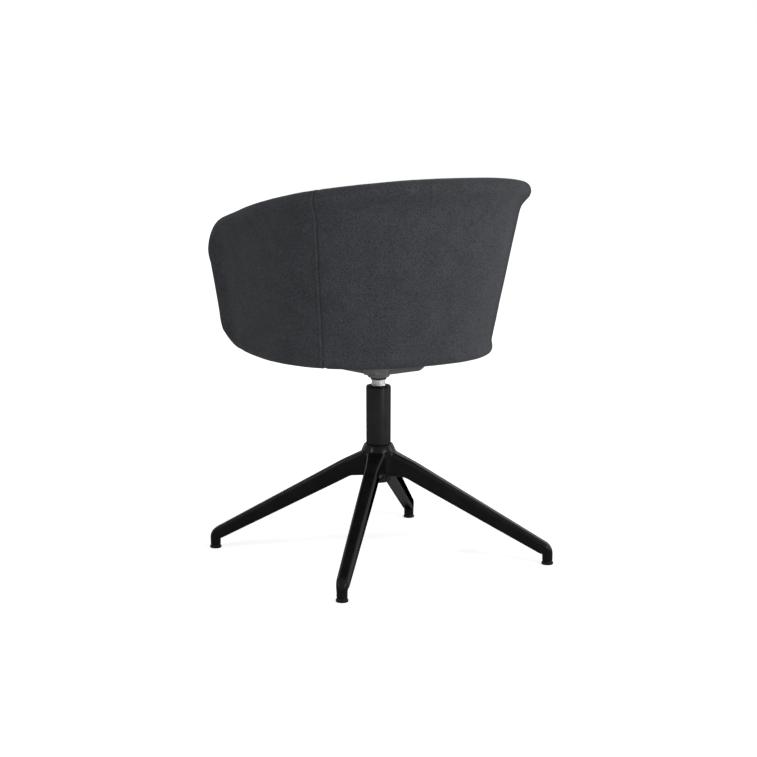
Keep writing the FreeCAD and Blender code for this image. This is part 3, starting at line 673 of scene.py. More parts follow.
def grid_faces(rows: int, columns: int, round_rows: bool = False,
               round_columns: bool = False) -> list[list[int]]:
    """The quads over a grid of points, as point numbers.

    Args:
        rows: how many rows.
        columns: how many columns.
        round_rows: whether the last row joins the first.
        round_columns: whether the last column joins the first.

    Returns:
        The four point numbers of each quad.
    """
    index = np.arange(rows * columns).reshape(rows, columns)
    if round_rows:
        index = np.concatenate([index, index[:1]])
    if round_columns:
        index = np.concatenate([index, index[:, :1]], axis=1)
    corners = [index[:-1, :-1], index[:-1, 1:], index[1:, 1:], index[1:, :-1]]
    return np.stack(corners, axis=-1).reshape(-1, 4).tolist()


def mesh_over(name: str, points: Grid, faces: Sequence[Sequence[int]]) -> Mesh:
    """A mesh of faces over a grid of points.

    Args:
        name: the mesh's name.
        points: places, by row and column.
        faces: the point numbers of each face.

    Returns:
        The mesh.
    """
    mesh = bpy.data.meshes.new(name)
    mesh.from_pydata(points.reshape(-1, 3).tolist(), [], faces)
    return mesh


def grid_mesh(name: str, points: Grid, u: Grid, v: Grid) -> Mesh:
    """A mesh of quads over a grid of points, with a UV map in metres.

    Args:
        name: the mesh's name.
        points: places, by row and column.
        u: distance across the cloth of each point.
        v: distance along the cloth of each point.

    Returns:
        The mesh, its doubles merged.
    """
    mesh = mesh_over(name, points, grid_faces(*points.shape[:2]))
    layer = mesh.uv_layers.new(name="cloth")
    flat = np.stack([u.reshape(-1), v.reshape(-1)], axis=-1)
    loops = np.empty(len(mesh.loops), dtype=np.int32)
    mesh.loops.foreach_get("vertex_index", loops)
    layer.data.foreach_set("uv", flat[loops].astype(np.float32).ravel())
    clean(mesh, 0.02 * MM)
    return mesh


def unit(vectors: Grid, least: float = 1e-9) -> Grid:
    """Vectors of length one, or of next to none where their length is under the least."""
    return vectors / np.maximum(np.linalg.norm(vectors, axis=-1, keepdims=True), least)


def grid_normals(points: Grid) -> Grid:
    """Unit normals of a grid of points, row direction crossed with column direction."""
    return unit(np.cross(np.gradient(points, axis=0), np.gradient(points, axis=1)), 1e-12)


def travelled(points: Grid, axis: int) -> Grid:
    """How far each point of a grid is from the grid's first edge, measured along the grid.

    Args:
        points: places, by row and column.
        axis: 0 to measure from row to row, 1 from column to column.

    Returns:
        The distances, by row and column.
    """
    steps = np.linalg.norm(np.diff(points, axis=axis), axis=2)
    return np.insert(np.cumsum(steps, axis=axis), 0, 0, axis=axis)


def arc(centre: np.ndarray, radius: float, start: float, end: float, count: int) -> Grid:
    """Points on an arc in a station's plane.

    Args:
        centre: its centre.
        radius: its radius.
        start: its first angle from outwards towards up, in radians.
        end: its last angle.
        count: how many points.

    Returns:
        The points, as (out, up) pairs.
    """
    turns = np.linspace(start, end, count)
    return centre + radius * np.stack([np.cos(turns), np.sin(turns)], axis=-1)


def lathe(name: str, profile: Sequence[tuple[float, float, float]], steps: int = 96, bevel_steps: int = 4,
          closed: bool = True) -> Mesh:
    """A mesh turned about Z from a profile whose corners are rounded.

    Args:
        name: the mesh's name.
        profile: radius, height and corner radius of each corner, in metres.
        steps: segments round the axis.
        bevel_steps: segments in each rounded corner.
        closed: whether the last corner joins the first.

    Returns:
        The mesh.
    """
    line: list[Vector] = []
    count = len(profile)
    for index, (radius, height, bevel) in enumerate(profile):
        here = Vector((radius, height))
        if bevel <= 0 or (not closed and index in (0, count - 1)):
            line.append(here)
            continue
        back = (Vector(profile[index - 1][:2]) - here).normalized()
        ahead = (Vector(profile[(index + 1) % count][:2]) - here).normalized()
        half = back.angle(ahead) / 2
        reach = bevel / math.tan(half)
        centre = here + (back + ahead).normalized() * (bevel / math.sin(half))
        first, last = here + back * reach - centre, here + ahead * reach - centre
        for step in range(bevel_steps + 1):
            line.append(centre + first.slerp(last, step / bevel_steps).normalized() * bevel)
    angles = np.linspace(0, 2 * math.pi, steps, endpoint=False)
    points = np.array([[(p.x * math.cos(a), p.x * math.sin(a), p.y) for a in angles] for p in line])
    mesh = mesh_over(name, points, grid_faces(len(line), steps, round_rows=closed, round_columns=True))
    clean(mesh, 0.01 * MM)
    return mesh


def ease(distance: Grid, reach: float) -> Grid:
    """One at distance zero, falling smoothly to nothing at a reach."""
    share = np.clip(1 - distance / reach, 0, 1)
    return share * share * (3 - 2 * share)


def ripple(points: Grid, scale: float, seed: float) -> Grid:
    """A smooth wavy value of -1 to 1 over points, from a few crossed waves.

    Args:
        points: the places.
        scale: waves to the metre, times two pi.
        seed: shifts the waves.

    Returns:
        A value for each point.
    """
    ways = np.array([[1.0, 0.35, 0.2], [-0.4, 1.1, 0.5], [0.3, -0.6, 1.2], [0.9, 0.8, -0.7]])
    total = np.zeros(points.shape[:-1])
    for number, way in enumerate(ways):
        total += np.sin(points @ (way * scale) + seed * (number + 1.7))
    return total / len(ways)


def waves(points: Grid, kinds: Sequence[tuple[float, float, float]]) -> Grid:
    """The sum of several ripples over points.

    Args:
        points: the places.
        kinds: height, scale and seed of each ripple.

    Returns:
        The sum at each point.
    """
    return sum(height * ripple(points, scale, seed) for height, scale, seed in kinds)


# Upholstered shell


@dataclass(frozen=True)
class Station:
    """One upright plane across the wall.

    Attributes:
        foot: its point on the foot line.
        normal: the foot line's outward normal there.
        lean: how far the face moves out as it rises, as a share of the rise.
        top: the rim's height.
        bottom: the foot's height.
        shift: how far out the whole face is moved.
        thickness: the wall's thickness.
        lip: how far the lip stands out of the face.
        share: how much of their radius the rounded edges keep.
        roll: how far the roll at the foot stands out of the face.
        to_end: its distance from the arm's front end.
        turn: how far its normal has turned from straight back.
    """

    foot: np.ndarray
    normal: np.ndarray
    lean: float
    top: float
    bottom: float
    shift: float
    thickness: float
    lip: float
    share: float
    roll: float
    to_end: float
    turn: float


@dataclass
class ShellForm:
    """The shape of the upholstered wall: its plan, lean, rim line and section."""

    END_STATIONS = 14
    ARM_STATIONS = 90
    BACK_STATIONS = 160
    UNDER_POINTS = 9
    FOOT_POINTS = 11
    DIP_POINTS = 7
    FACE_POINTS = 46
    RISE_POINTS = 11
    NOSE_POINTS = 17
    TOP_POINTS = 9
    BEND_POINTS = 13
    INNER_POINTS = 50

    half_width: float = 0.2331
    back_depth: float = 0.2302
    front_reach: float = 0.515
    plan_centre_ahead: float = 0.039
    arm_front_ahead: float = 0.2068
    plan_power: float = 2.37
    side_lean: float = 0.167
    back_lean: float = 0.233
    bottom_height: float = 0.418
    rim_back_height: float = 0.7802
    rim_arm_height: float = 0.6796
    rim_fall: float = 0.98
    top_deep: float = 0.0838
    top_tall: float = 0.101
    top_power: float = 2.28
    bottom_corner: float = 0.0728
    corner_deep: float = 0.045
    corner_tall: float = 0.1137
    corner_power: float = 1.95
    foot_rise: float = 0.017
    foot_rise_reach: float = 0.17
    end_round: float = 0.0172
    thickness: float = 0.042
    lip_reach: float = 0.0149
    lip_radius: float = 0.0168
    lip_hollow: float = 0.0418
    lip_fade: float = 0.038
    lip_least: float = 0.1
    rim_inner: float = 0.019
    roll_reach: float = 0.0058
    roll_radius: float = 0.014
    roll_hollow: float = 0.018
    tuck: float = 0.018
    soften: int = 8
    top_crowding: float = 1.8
    stations: list[Station] = field(default_factory=list)
    lengths: Grid = field(default_factory=lambda: np.zeros(0))

    def __post_init__(self) -> None:
        """Set out the stations from the left arm's end round the back to the right arm's end."""
        straight = np.linspace(self.end_round, self.arm_reach, self.ARM_STATIONS)[1:-1]
        gaps = np.concatenate([self.round_steps(), straight])
        turns = np.linspace(math.pi / 2, 0, self.BACK_STATIONS)
        left = [self.arm_station(Side.LEFT, gap) for gap in gaps]
        left += [self.back_station(turn) for turn in turns]
        right = [self.back_station(-turn) for turn in turns[::-1][1:]]
        right += [self.arm_station(Side.RIGHT, gap) for gap in gaps[::-1]]
        self.stations = left + right
        feet = np.array([place.foot for place in self.stations])
        self.lengths = np.insert(np.cumsum(np.linalg.norm(np.diff(feet, axis=0), axis=1)), 0, 0)

    @property
    def arm_reach(self) -> float:
        """How far the arms' front ends are ahead of the plan's centre."""
        return self.arm_front_ahead - self.plan_centre_ahead

    def round_steps(self) -> Grid:
        """Distances from an arm's front end of the stations round it."""
        return self.end_round * (1 - np.cos(np.linspace(0, math.pi / 2, self.END_STATIONS)))

    @staticmethod
    def drop(radius: float, distance: float) -> float:
        """How far a round corner has fallen away at a distance from its end."""
        left = radius - min(distance, radius)
        return radius - math.sqrt(max(radius * radius - left * left, 0))

    @staticmethod
    def corner(deep: float, tall: float, power: float, distance: float) -> float:
        """How far a corner shaped as a superellipse has left its edge at a distance from the arm's end."""
        left = 1 - min(distance / deep, 1)
        return tall * (1 - (1 - left ** power) ** (1 / power))

    def bottom(self, distance: float) -> float:
        """Height of the wall's foot, which rises a little along the arm and then round its lower corner.

        Args:
            distance: how far from the arm's front end.

        Returns:
            The height.
        """
        rise = self.foot_rise * max(0.0, 1 - distance / self.foot_rise_reach) ** 2
        corner = self.corner(self.corner_deep, self.corner_tall, self.corner_power, distance)
        return self.bottom_height + rise + corner

    def oval(self, wide: float, deep: float, turn: float) -> tuple[np.ndarray, np.ndarray]:
        """A place on a superellipse.

        Args:
            wide: its half width.
            deep: its half depth.
            turn: how far its normal has turned from +Y there.

        Returns:
            The point and the normal.
        """
        power = self.plan_power
        across, along = math.sin(turn), math.cos(turn)
        first, second = wide * abs(across), deep * abs(along)
        scale = (first ** (power / (power - 1)) + second ** (power / (power - 1))) ** (1 / power)
        x = math.copysign(wide * first ** (1 / (power - 1)) / scale, across)
        y = math.copysign(deep * second ** (1 / (power - 1)) / scale, along)
        return np.array([x, y]), np.array([across, along])

    def station(self, point: np.ndarray, normal: np.ndarray, ahead: float, to_end: float,
                turn: float) -> Station:
        """One station of the wall.

        Args:
            point: its place on the foot line, about the plan's centre.
            normal: the foot line's outward normal there.
            ahead: how far in front of the plan's centre it is.
            to_end: its distance from the arm's front end.
            turn: how far its normal has turned from straight back.

        Returns:
            The station.
        """
        side = abs(point[0] * normal[0]) / self.half_width * self.side_lean
        back = max(point[1] * normal[1], 0) / self.back_depth * self.back_lean
        fall = max(0.0, (ahead + self.back_depth) / (self.arm_reach + self.back_depth)) ** self.rim_fall
        rim = self.rim_back_height - (self.rim_back_height - self.rim_arm_height) * fall
        fade = max(0.0, min(1.0, 1 - (to_end - self.end_round) / self.lip_fade))
        flare = (1 - self.lip_least) * self.lip_reach * fade ** 2
        end_drop = self.drop(self.end_round, to_end)
        return Station(
            foot=np.array([point[0], point[1] - self.plan_centre_ahead]),
            normal=normal,
            lean=side + back,
            top=rim - self.corner(self.top_deep, self.top_tall, self.top_power, to_end),
            bottom=self.bottom(to_end),
            shift=flare - end_drop,
            thickness=self.thickness + flare - 2 * end_drop,
            lip=self.lip_reach - flare,
            share=1 - 2 * end_drop / (self.thickness + self.lip_reach),
            roll=self.roll_reach * max(self.lip_least, min(1, to_end / self.bottom_corner)),
            to_end=to_end,
            turn=turn,
        )

    def back_station(self, turn: float) -> Station:
        """The station where the foot line's normal has turned that far from straight back."""
        point, normal = self.oval(self.half_width, self.back_depth, turn)
        return self.station(point, normal, -point[1], self.arm_reach + max(point[1], 0), turn)

    def arm_station(self, side: Side, to_end: float) -> Station:
        """A station on an arm.

        Args:
            side: the arm.
            to_end: how far from its front end.

        Returns:
            The station.
        """
        ahead = self.arm_reach - to_end
        power = self.plan_power
        x = self.half_width * (1 - (ahead / self.front_reach) ** power) ** (1 / power)
        wide = (x / self.half_width) ** (power - 1) / self.half_width
        deep = (ahead / self.front_reach) ** (power - 1) / self.front_reach
        normal = np.array([side.value * wide, -deep])
        normal /= np.linalg.norm(normal)
        turn = side.value * math.atan2(wide, -deep)
        return self.station(np.array([side.value * x, -ahead]), normal, ahead, to_end, turn)

    def face(self, place: Station, height: float) -> float:
        """How far out the wall's face line is at a height of a station."""
        return place.lean * (height - self.bottom_height) + place.shift

    def hollow_centre(self, place: Station, centre: np.ndarray, radius: float, hollow: float,
                      rising: int) -> np.ndarray:
        """Centre of the hollow between the wall's face and a round edge.

        Args:
            place: the station.
            centre: the round edge's centre, as (out, up).
            radius: the round edge's radius.
            hollow: the hollow's radius.
            rising: 1 where the hollow is above the edge, -1 where it is below.

        Returns:
            The centre, as (out, up).
        """
        angle = math.atan(place.lean)
        normal = np.array([math.cos(angle), -math.sin(angle)])
        along = np.array([math.sin(angle), math.cos(angle)])
        spot = np.array([self.face(place, centre[1]), centre[1]])
        gap = centre - spot
        reach = math.sqrt(max((hollow + radius) ** 2 - (hollow - gap @ normal) ** 2, 0))
        return spot + along * (gap @ along + rising * reach) + normal * hollow

    def section(self, place: Station, depth: float = 0.0) -> tuple[Grid, Grid]:
        """The wall's outline at a station.

        Args:
            place: the station.
            depth: how far under the cloth's face.

        Returns:
            The outer run, from under the foot to the rim's seam, and the inner run, from the seam down, as
            (out, up) pairs.
        """
        angle = math.atan(place.lean)
        roll_radius = self.roll_radius * place.share
        roll_height = place.bottom + roll_radius
        roll = np.array([self.face(place, roll_height) + place.roll - roll_radius, roll_height])
        low = self.hollow_centre(place, roll, roll_radius, self.roll_hollow, 1)
        lip_radius = self.lip_radius * place.share
        lip_height = place.top - lip_radius
        lip = np.array([self.face(place, lip_height) + place.lip - lip_radius, lip_height])
        high = self.hollow_centre(place, lip, lip_radius, self.lip_hollow, -1)
        to_low = math.atan2(*(low - roll)[::-1])
        to_high = math.atan2(*(high - lip)[::-1])
        tuck = place.thickness + self.tuck * min(1, place.to_end / self.bottom_corner)
        under = np.array([self.face(place, place.bottom) - tuck, place.bottom + depth])
        foot = arc(roll, roll_radius - depth, -math.pi / 2, to_low, self.FOOT_POINTS)
        dip = arc(low, self.roll_hollow + depth, to_low + math.pi, math.pi - angle, self.DIP_POINTS)
        rise = arc(high, self.lip_hollow + depth, math.pi - angle, to_high + math.pi, self.RISE_POINTS)
        nose = arc(lip, lip_radius - depth, to_high, math.pi / 2, self.NOSE_POINTS)
        inner_radius = self.rim_inner * place.share
        touch = place.top - inner_radius + inner_radius * math.sin(angle)
        inner_face = self.face(place, touch) - place.thickness
        inner = np.array([inner_face + inner_radius * math.cos(angle), place.top - inner_radius])
        seam = inner + np.array([0, inner_radius - depth])
        bend = arc(inner, inner_radius - depth, math.pi / 2, math.pi - angle, self.BEND_POINTS)
        inset = depth / math.cos(angle)
        end = np.array([self.face(place, place.bottom) - place.thickness + inset, place.bottom + depth])
        spread = 1 - (1 - np.linspace(0, 1, self.TOP_POINTS)[1:]) ** self.top_crowding
        top_run = nose[-1] + (seam - nose[-1]) * spread[:, None]
        under_run = under + (foot[0] - under) * np.linspace(0, 1, self.UNDER_POINTS)[:-1, None]
        face_run = dip[-1] + (rise[0] - dip[-1]) * np.linspace(0, 1, self.FACE_POINTS)[1:-1, None]
        outer = np.concatenate([under_run, foot, dip[1:], face_run, rise, nose[1:], top_run])
        soft = outer[self.UNDER_POINTS - 1:]
        for _ in range(self.soften):
            soft[1:-1] += (soft[:-2] + soft[2:] - 2 * soft[1:-1]) / 4
        inner_run = bend[-1] + (end - bend[-1]) * np.linspace(0, 1, self.INNER_POINTS)[1:, None]
        return outer, np.concatenate([bend, inner_run])

    def surfaces(self, depth: float = 0.0) -> tuple[Grid, Grid]:
        """The outer and the inner run of every station, as places.

        Args:
            depth: how far under the cloth's face.

        Returns:
            The outer and the inner surface, by row and station.
        """
        outers, inners = [], []
        for place in self.stations:
            for run, kept in zip(self.section(place, depth), (outers, inners)):
                flat = place.foot + run[:, :1] * place.normal
                kept.append(np.concatenate([flat, run[:, 1:]], axis=1))
        return np.stack(outers, axis=1), np.stack(inners, axis=1)

    def sample(self, surface: Grid, distances: Grid) -> Grid:
        """Points of a surface at distances along the foot line.

        Args:
            surface: the surface, by row and station.
            distances: the distances, by row and column.

        Returns:
            The points, by row and column.
        """
        rows = np.arange(surface.shape[0])[:, None]
        place = np.interp(distances, self.lengths, np.arange(len(self.lengths)))
        low = np.clip(np.floor(place).astype(int), 0, len(self.lengths) - 2)
        share = (place - low)[..., None]
        return surface[rows, low] * (1 - share) + surface[rows, low + 1] * share

    def distance_of_turn(self, turn: float) -> float:
        """Distance along the foot line where its normal has turned that far from straight back."""
        turns = np.array([place.turn for place in self.stations])
        return float(np.interp(-turn, -turns, self.lengths))


@dataclass
class TubShell:
    """The shell's cloth panels, its padding and its seams."""

    form: ShellForm
    seam_turn: float = math.radians(54.2)
    seam_slant: float = math.radians(3.4)
    valley: float = 2.0 * MM
    valley_reach: float = 2.2 * MM
    gap: float = 0.45 * MM
    turn_in: float = 3.0 * MM
    half_way_in: Span = (0.45, 0.3)
    cloth: float = 1.4 * MM
    stitch_inset: float = 7.5 * MM
    stitch_rows: tuple[int, int] = (8, -6)
    stitch_pitch: float = 3.4 * MM
    stitch_length: float = 2.5 * MM
    thread_radius: float = 0.32 * MM
    fold: float = 0.5 * MM
    fold_reach: float = 0.6 * MM
    dimple: float = 0.9 * MM
    dimple_reach: float = 0.9 * MM
    pucker: float = 0.28 * MM
    pucker_place: float = 13 * MM
    pucker_reach: float = 8 * MM
    pucker_waves: Span = (330, 4.2)
    swells: tuple[tuple[float, float, float], ...] = ((0.5 * MM, 34, 2.1), (0.22 * MM, 95, 0.6))
    key_rise: float = 0.05
    cap_shares: tuple[float, ...] = (0, 0.04, 0.09, 0.16, 0.26, 0.4, 0.56, 0.74, 0.9)
    cap_swell: float = 2.0 * MM
    cap_power: float = 0.8
    cap_width: float = 8 * MM
    face_row: int = 40
    inner_step: float = 5 * MM
    foam_depth: float = 3.4 * MM
    foam_from: int = 6
    foam_columns: int = 150

    def seam_steps(self) -> Grid:
        """Distances from a sewn edge of the columns beside it."""
        return np.array([0, 0.5, 1, 1.6, 2.4, 3.4, 4.6, 5.8, 6.6, 7.1, 7.5, 7.9, 8.4, 9.4, 11.5]) * MM

    def spread_columns(self, span: Grid, start: Grid, end: Grid, step: float = 7 * MM) -> Grid:
        """Places of a panel's columns, closer together beside its edges.

        Args:
            span: the panel's width in each row.
            start: distances of the first columns from the first edge.
            end: distances of the last columns from the last edge.
            step: the usual spacing.

        Returns:
            Distances from the first edge, by row and column.
        """
        count = int(np.mean(span) / step)
        rows = []
        for width in span:
            middle = np.linspace(start[-1], width - end[-1], count)[1:-1]
            rows.append(np.concatenate([start, middle, (width - end)[::-1]]))
        return np.array(rows)

    def curl(self, points: Grid, u: Grid, v: Grid, sides: Sequence[bool],
             inside: bool) -> tuple[Grid, Grid, Grid]:
        """Turn a panel's sewn edges in behind the seam.

        Args:
            points: the panel, by row and column.
            u: distance across.
            v: distance along.
            sides: whether the first column, last column, first row and last row are sewn.
            inside: whether the panel faces the seat.

        Returns:
            The panel and both distances, with the turned-in edges added.
        """
        normal = self.outward(points, inside)
        for number, sewn in enumerate(sides):
            if not sewn:
                continue
            first, axis = number % 2 == 0, 1 - number // 2
            at = 0 if first else -1
            edge, way = np.take(points, [at], axis), np.take(normal, [at], axis)
            across = edge - np.take(points, [1 if first else -2], axis)
            across *= self.gap / np.maximum(np.linalg.norm(across, axis=-1, keepdims=True), 1e-9)
            part_in, part_across = self.half_way_in
            deep = edge - way * self.turn_in + across
            half = edge - way * self.turn_in * part_in + across * part_across
            inner = np.concatenate([deep, half], axis)
            inner = inner if first else np.flip(inner, axis)
            flat_u, flat_v = (np.repeat(np.take(flat, [at], axis), 2, axis) for flat in (u, v))
            points = np.concatenate([inner, points] if first else [points, inner], axis)
            u = np.concatenate([flat_u, u] if first else [u, flat_u], axis)
            v = np.concatenate([flat_v, v] if first else [v, flat_v], axis)
            pad = np.repeat(way, 2, axis)
            normal = np.concatenate([pad, normal] if first else [normal, pad], axis)
        return points, u, v

    def outward(self, points: Grid, inside: bool) -> Grid:
        """Normals of a panel that point out of the padding.

        Args:
            points: the panel, by row and column.
            inside: whether the panel faces the seat.

        Returns:
            The normals.
        """
        normal = grid_normals(points)
        centre = points.reshape(-1, 3).mean(axis=0)
        middle = normal[normal.shape[0] // 2, normal.shape[1] // 2]
        spot = points[points.shape[0] // 2, points.shape[1] // 2]
        away = bool(middle @ (spot - centre) > 0)
        return normal if away != inside else -normal

    def sew(self, points: Grid, sides: Sequence[bool], stitched: Sequence[bool], inside: bool) -> Grid:
        """Sink a panel's sewn edges into their seams, with light puckers beside them.

        Args:
            points: the panel, by row and column.
            sides: whether the first column, last column, first row and last row are sewn.
            stitched: whether a row of stitches runs beside the first and the last column.
            inside: whether the panel faces the seat.

        Returns:
            The sewn panel.
        """
        away = [travelled(points, 1), travelled(points[:, ::-1], 1)[:, ::-1],
                travelled(points, 0), travelled(points[::-1], 0)[::-1]]
        normal = self.outward(points, inside)
        sunk = waves(points, self.swells)
        sewn = [gap for gap, side in zip(away, sides) if side]
        if sewn:
            nearest = np.minimum.reduce(sewn)
            sunk -= self.valley * np.exp(-nearest / self.valley_reach)
            beside = np.exp(-(((nearest - self.pucker_place) / self.pucker_reach) ** 2))
            sunk += self.pucker * beside * ripple(points, *self.pucker_waves)
        for stitch, gap in zip(stitched, away[:2]):
            if stitch:
                sunk += self.fold / (1 + np.exp((gap - self.stitch_inset) / self.fold_reach))
                sunk -= self.dimple * np.exp(-(((gap - self.stitch_inset) / self.dimple_reach) ** 2))
        return points + normal * sunk[..., None]

    def seam_distances(self, surface: Grid, turn: float) -> Grid:
        """Where an upright seam of the outer surface runs, which slants a little.

        Args:
            surface: the outer surface.
            turn: how far the foot line's normal has turned at the seam, from straight back.

        Returns:
            The seam's distance along the foot line at each row.
        """
        where = self.form.distance_of_turn(turn)
        column = int(np.argmin(np.abs(self.form.lengths - where)))
        heights = surface[:, column, 2]
        rise = (heights - heights.min()) / (heights.max() - heights.min())
        turns = turn + math.copysign(1, turn) * self.seam_slant * (0.5 - rise)
        return np.array([self.form.distance_of_turn(angle) for angle in turns])

    def end_partners(self, outer: Grid, inner: Grid) -> tuple[Grid, Grid]:
        """Where each point of an arm end's outer and inner outline meets the seam between them.

        Args:
            outer: the outer outline, from under the foot to the rim seam.
            inner: the inner outline, from the rim seam to the bottom.

        Returns:
            The seam's point for every outer and for every inner point.
        """
        past_bend = self.form.BEND_POINTS
        bend_height = inner[past_bend - 1, 2]
        nose = int(np.argmax(outer[:, 2] > bend_height))
        low = int(np.argmin(outer[:, 2] + 1e-6 * np.arange(len(outer))))
        tops, bends = np.linspace(0, 1, len(outer) - nose), np.linspace(1, 0, past_bend)
        keys_outer = np.concatenate([outer[:nose, 2], bend_height + tops * self.key_rise])
        keys_inner = np.concatenate([bend_height + bends * self.key_rise, inner[past_bend:, 2]])
        met_outer = np.stack(
            [np.interp(keys_outer, keys_inner[::-1], inner[::-1, axis]) for axis in range(3)], axis=-1)
        met_inner = np.stack(
            [np.interp(keys_inner, keys_outer[low:], outer[low:, axis]) for axis in range(3)], axis=-1)
        seam_outer = (outer + met_outer) / 2
        seam_outer[:low] = outer[:low]
        return seam_outer, (inner + met_inner) / 2

    def end_cap(self, edge: Grid, seam: Grid, ahead: np.ndarray) -> Grid:
        """The cloth over half of an arm's front end, from the seam to the outline.

        Args:
            edge: the outline's points.
            seam: the seam's point for each.
            ahead: the direction that the end faces.

        Returns:
            The cap by row and column, the seam's column first.
        """
        shares = np.array(self.cap_shares)
        cap = seam[:, None] + (edge - seam)[:, None] * shares[:, None]
        swell = np.cos(shares * math.pi / 2) ** self.cap_power * self.cap_swell
        width = np.linalg.norm(edge - seam, axis=1)
        return cap + ahead * swell[:, None] * np.clip(width / self.cap_width, 0, 1)[:, None, None]

    def end_caps(self, outer: Grid, inner: Grid, end: int) -> tuple[Grid, Grid]:
        """The cloth over both halves of an arm's front end.

        Args:
            outer: the wall's outer surface.
            inner: its inner surface.
            end: 0 for the left arm's end, -1 for the right arm's end.

        Returns:
            The outer panel's cap and the inner panel's cap.
        """
        seams = self.end_partners(outer[:, end], inner[:, end])
        behind = self.form.END_STATIONS if end == 0 else -self.form.END_STATIONS - 1
        way = (outer[self.face_row, end] - outer[self.face_row, behind])[:2]
        ahead = np.array([way[0], way[1], 0]) / np.linalg.norm(way)
        return tuple(self.end_cap(edge[:, end], seam, ahead) for edge, seam in zip((outer, inner), seams))

    def panel(self, name: str, points: Grid, sides: Sequence[bool], material: Material,
              nodes: Sequence[str], stitched: Sequence[bool] = (False, False), inside: bool = False) -> None:
        """Make one cloth panel.

        Args:
            name: the piece's name.
            points: its face, by row and column.
            sides: which of its four sides are sewn.
            material: the cloth.
            nodes: the CAD nodes that it stands for.
            stitched: whether stitches run beside its first and last column.
            inside: whether it faces the seat.
        """
        face = self.sew(points, sides, stitched, inside)
        face, across, along = self.curl(face, travelled(face, 1), travelled(face, 0), sides, inside)
        piece = piece_of(name, grid_mesh(name, face, across, along), material)
        thicken(piece, self.cloth, 0)
        settle(piece, Part.SEAT, nodes)

    def build(self, book: Book) -> None:
        """Make the panels, the padding and the stitches.

        Args:
            book: every finish by its slot.
        """
        form, cloth = self.form, book["charcoal_cloth"]
        outer, inner = form.surfaces()
        total = form.lengths[-1]
        left, right = self.seam_distances(outer, self.seam_turn), self.seam_distances(outer, -self.seam_turn)
        steps, ends = self.seam_steps(), form.round_steps()
        sewn = (True, True, False, True)
        columns = (left + self.gap)[:, None] + self.spread_columns(right - left - 2 * self.gap, steps, steps)
        self.panel("outer_back_panel", form.sample(outer, columns), sewn, cloth, ["outer_back_cover"])
        left_outer, left_inner = self.end_caps(outer, inner, 0)
        right_outer, right_inner = self.end_caps(outer, inner, -1)
        columns = self.spread_columns(left - self.gap, ends, steps)
        points = np.concatenate([left_outer, form.sample(outer, columns)], axis=1)
        self.panel("left_side_panel", points, sewn, cloth, ["left_side_cover"], (False, True))
        columns = total - self.spread_columns(total - right - self.gap, ends, steps)[:, ::-1]
        points = np.concatenate([form.sample(outer, columns), right_outer[:, ::-1]], axis=1)
        self.panel("right_side_panel", points, sewn, cloth, ["right_side_cover"], (True, False))
        columns = self.spread_columns(np.full(len(inner), total), ends, ends, self.inner_step)
        points = np.concatenate([left_inner, form.sample(inner, columns), right_inner[:, ::-1]], axis=1)
        self.panel("inner_panel", points, (True, True, True, False), cloth, ["inner_cover"], inside=True)
        self.padding(book["foam"])
        self.stitches(outer, (left - self.stitch_inset, right + self.stitch_inset), book["thread"])

    def padding(self, material: Material) -> None:
        """Make the foam under the cloth, a closed form.

        Args:
            material: the foam.
        """
        outer, inner = self.form.surfaces(self.foam_depth)
        last = outer.shape[1] - 1 - self.foam_from
        keep = np.unique(np.linspace(self.foam_from, last, self.foam_columns).astype(int))
        ring = np.concatenate([outer[self.form.UNDER_POINTS - 1::2, keep], inner[::2, keep]], axis=0)
        rows, columns = ring.shape[:2]
        ends = [list(range(0, rows * columns, columns)), list(range(rows * columns - 1, 0, -columns))]
        mesh = mesh_over("shell_padding", ring, grid_faces(rows, columns, round_rows=True) + ends)
        clean(mesh)
        piece = piece_of("shell_padding", mesh, material)
        settle(piece, Part.SEAT, ["shell_foam"])

    def stitches(self, outer: Grid, places: Sequence[Grid], thread: Material) -> None:
        """Run rows of stitches down the outer surface.

        Args:
            outer: the outer surface.
            places: each line's distance along the foot line at each row.
            thread: the thread's finish.
        """
        kept = slice(*self.stitch_rows)
        lines = [self.form.sample(outer, place[:, None])[kept, 0] for place in places]
        sizes = {"Pitch": self.stitch_pitch, "Length": self.stitch_length, "Radius": self.thread_radius}
        piece = Repeater("stitches", sizes).run("seam_stitches", lines, thread)
        settle(piece, Part.SEAT)


# Repeats


def plant(tree: NodeTree, kinds: dict[str, str]) -> dict[str, Node]:
    """Add nodes of the given kinds to a tree, by short names."""
    return {name: tree.nodes.new(kind) for name, kind in kinds.items()}


def wire(tree: NodeTree, nodes: dict[str, Node], links: Sequence[str]) -> None:
    """Link nodes.

    Args:
        tree: their tree.
        nodes: the nodes, by short names.
        links: each link as "node.socket > node.socket", with a socket's name or its number.
    """
    for link in links:
        (source, leaving), (target, entering) = (end.split(".") for end in link.split(" > "))
        leaving, entering = (int(key) if key.isdigit() else key for key in (leaving, entering))
        tree.links.new(nodes[source].outputs[leaving], nodes[target].inputs[entering])


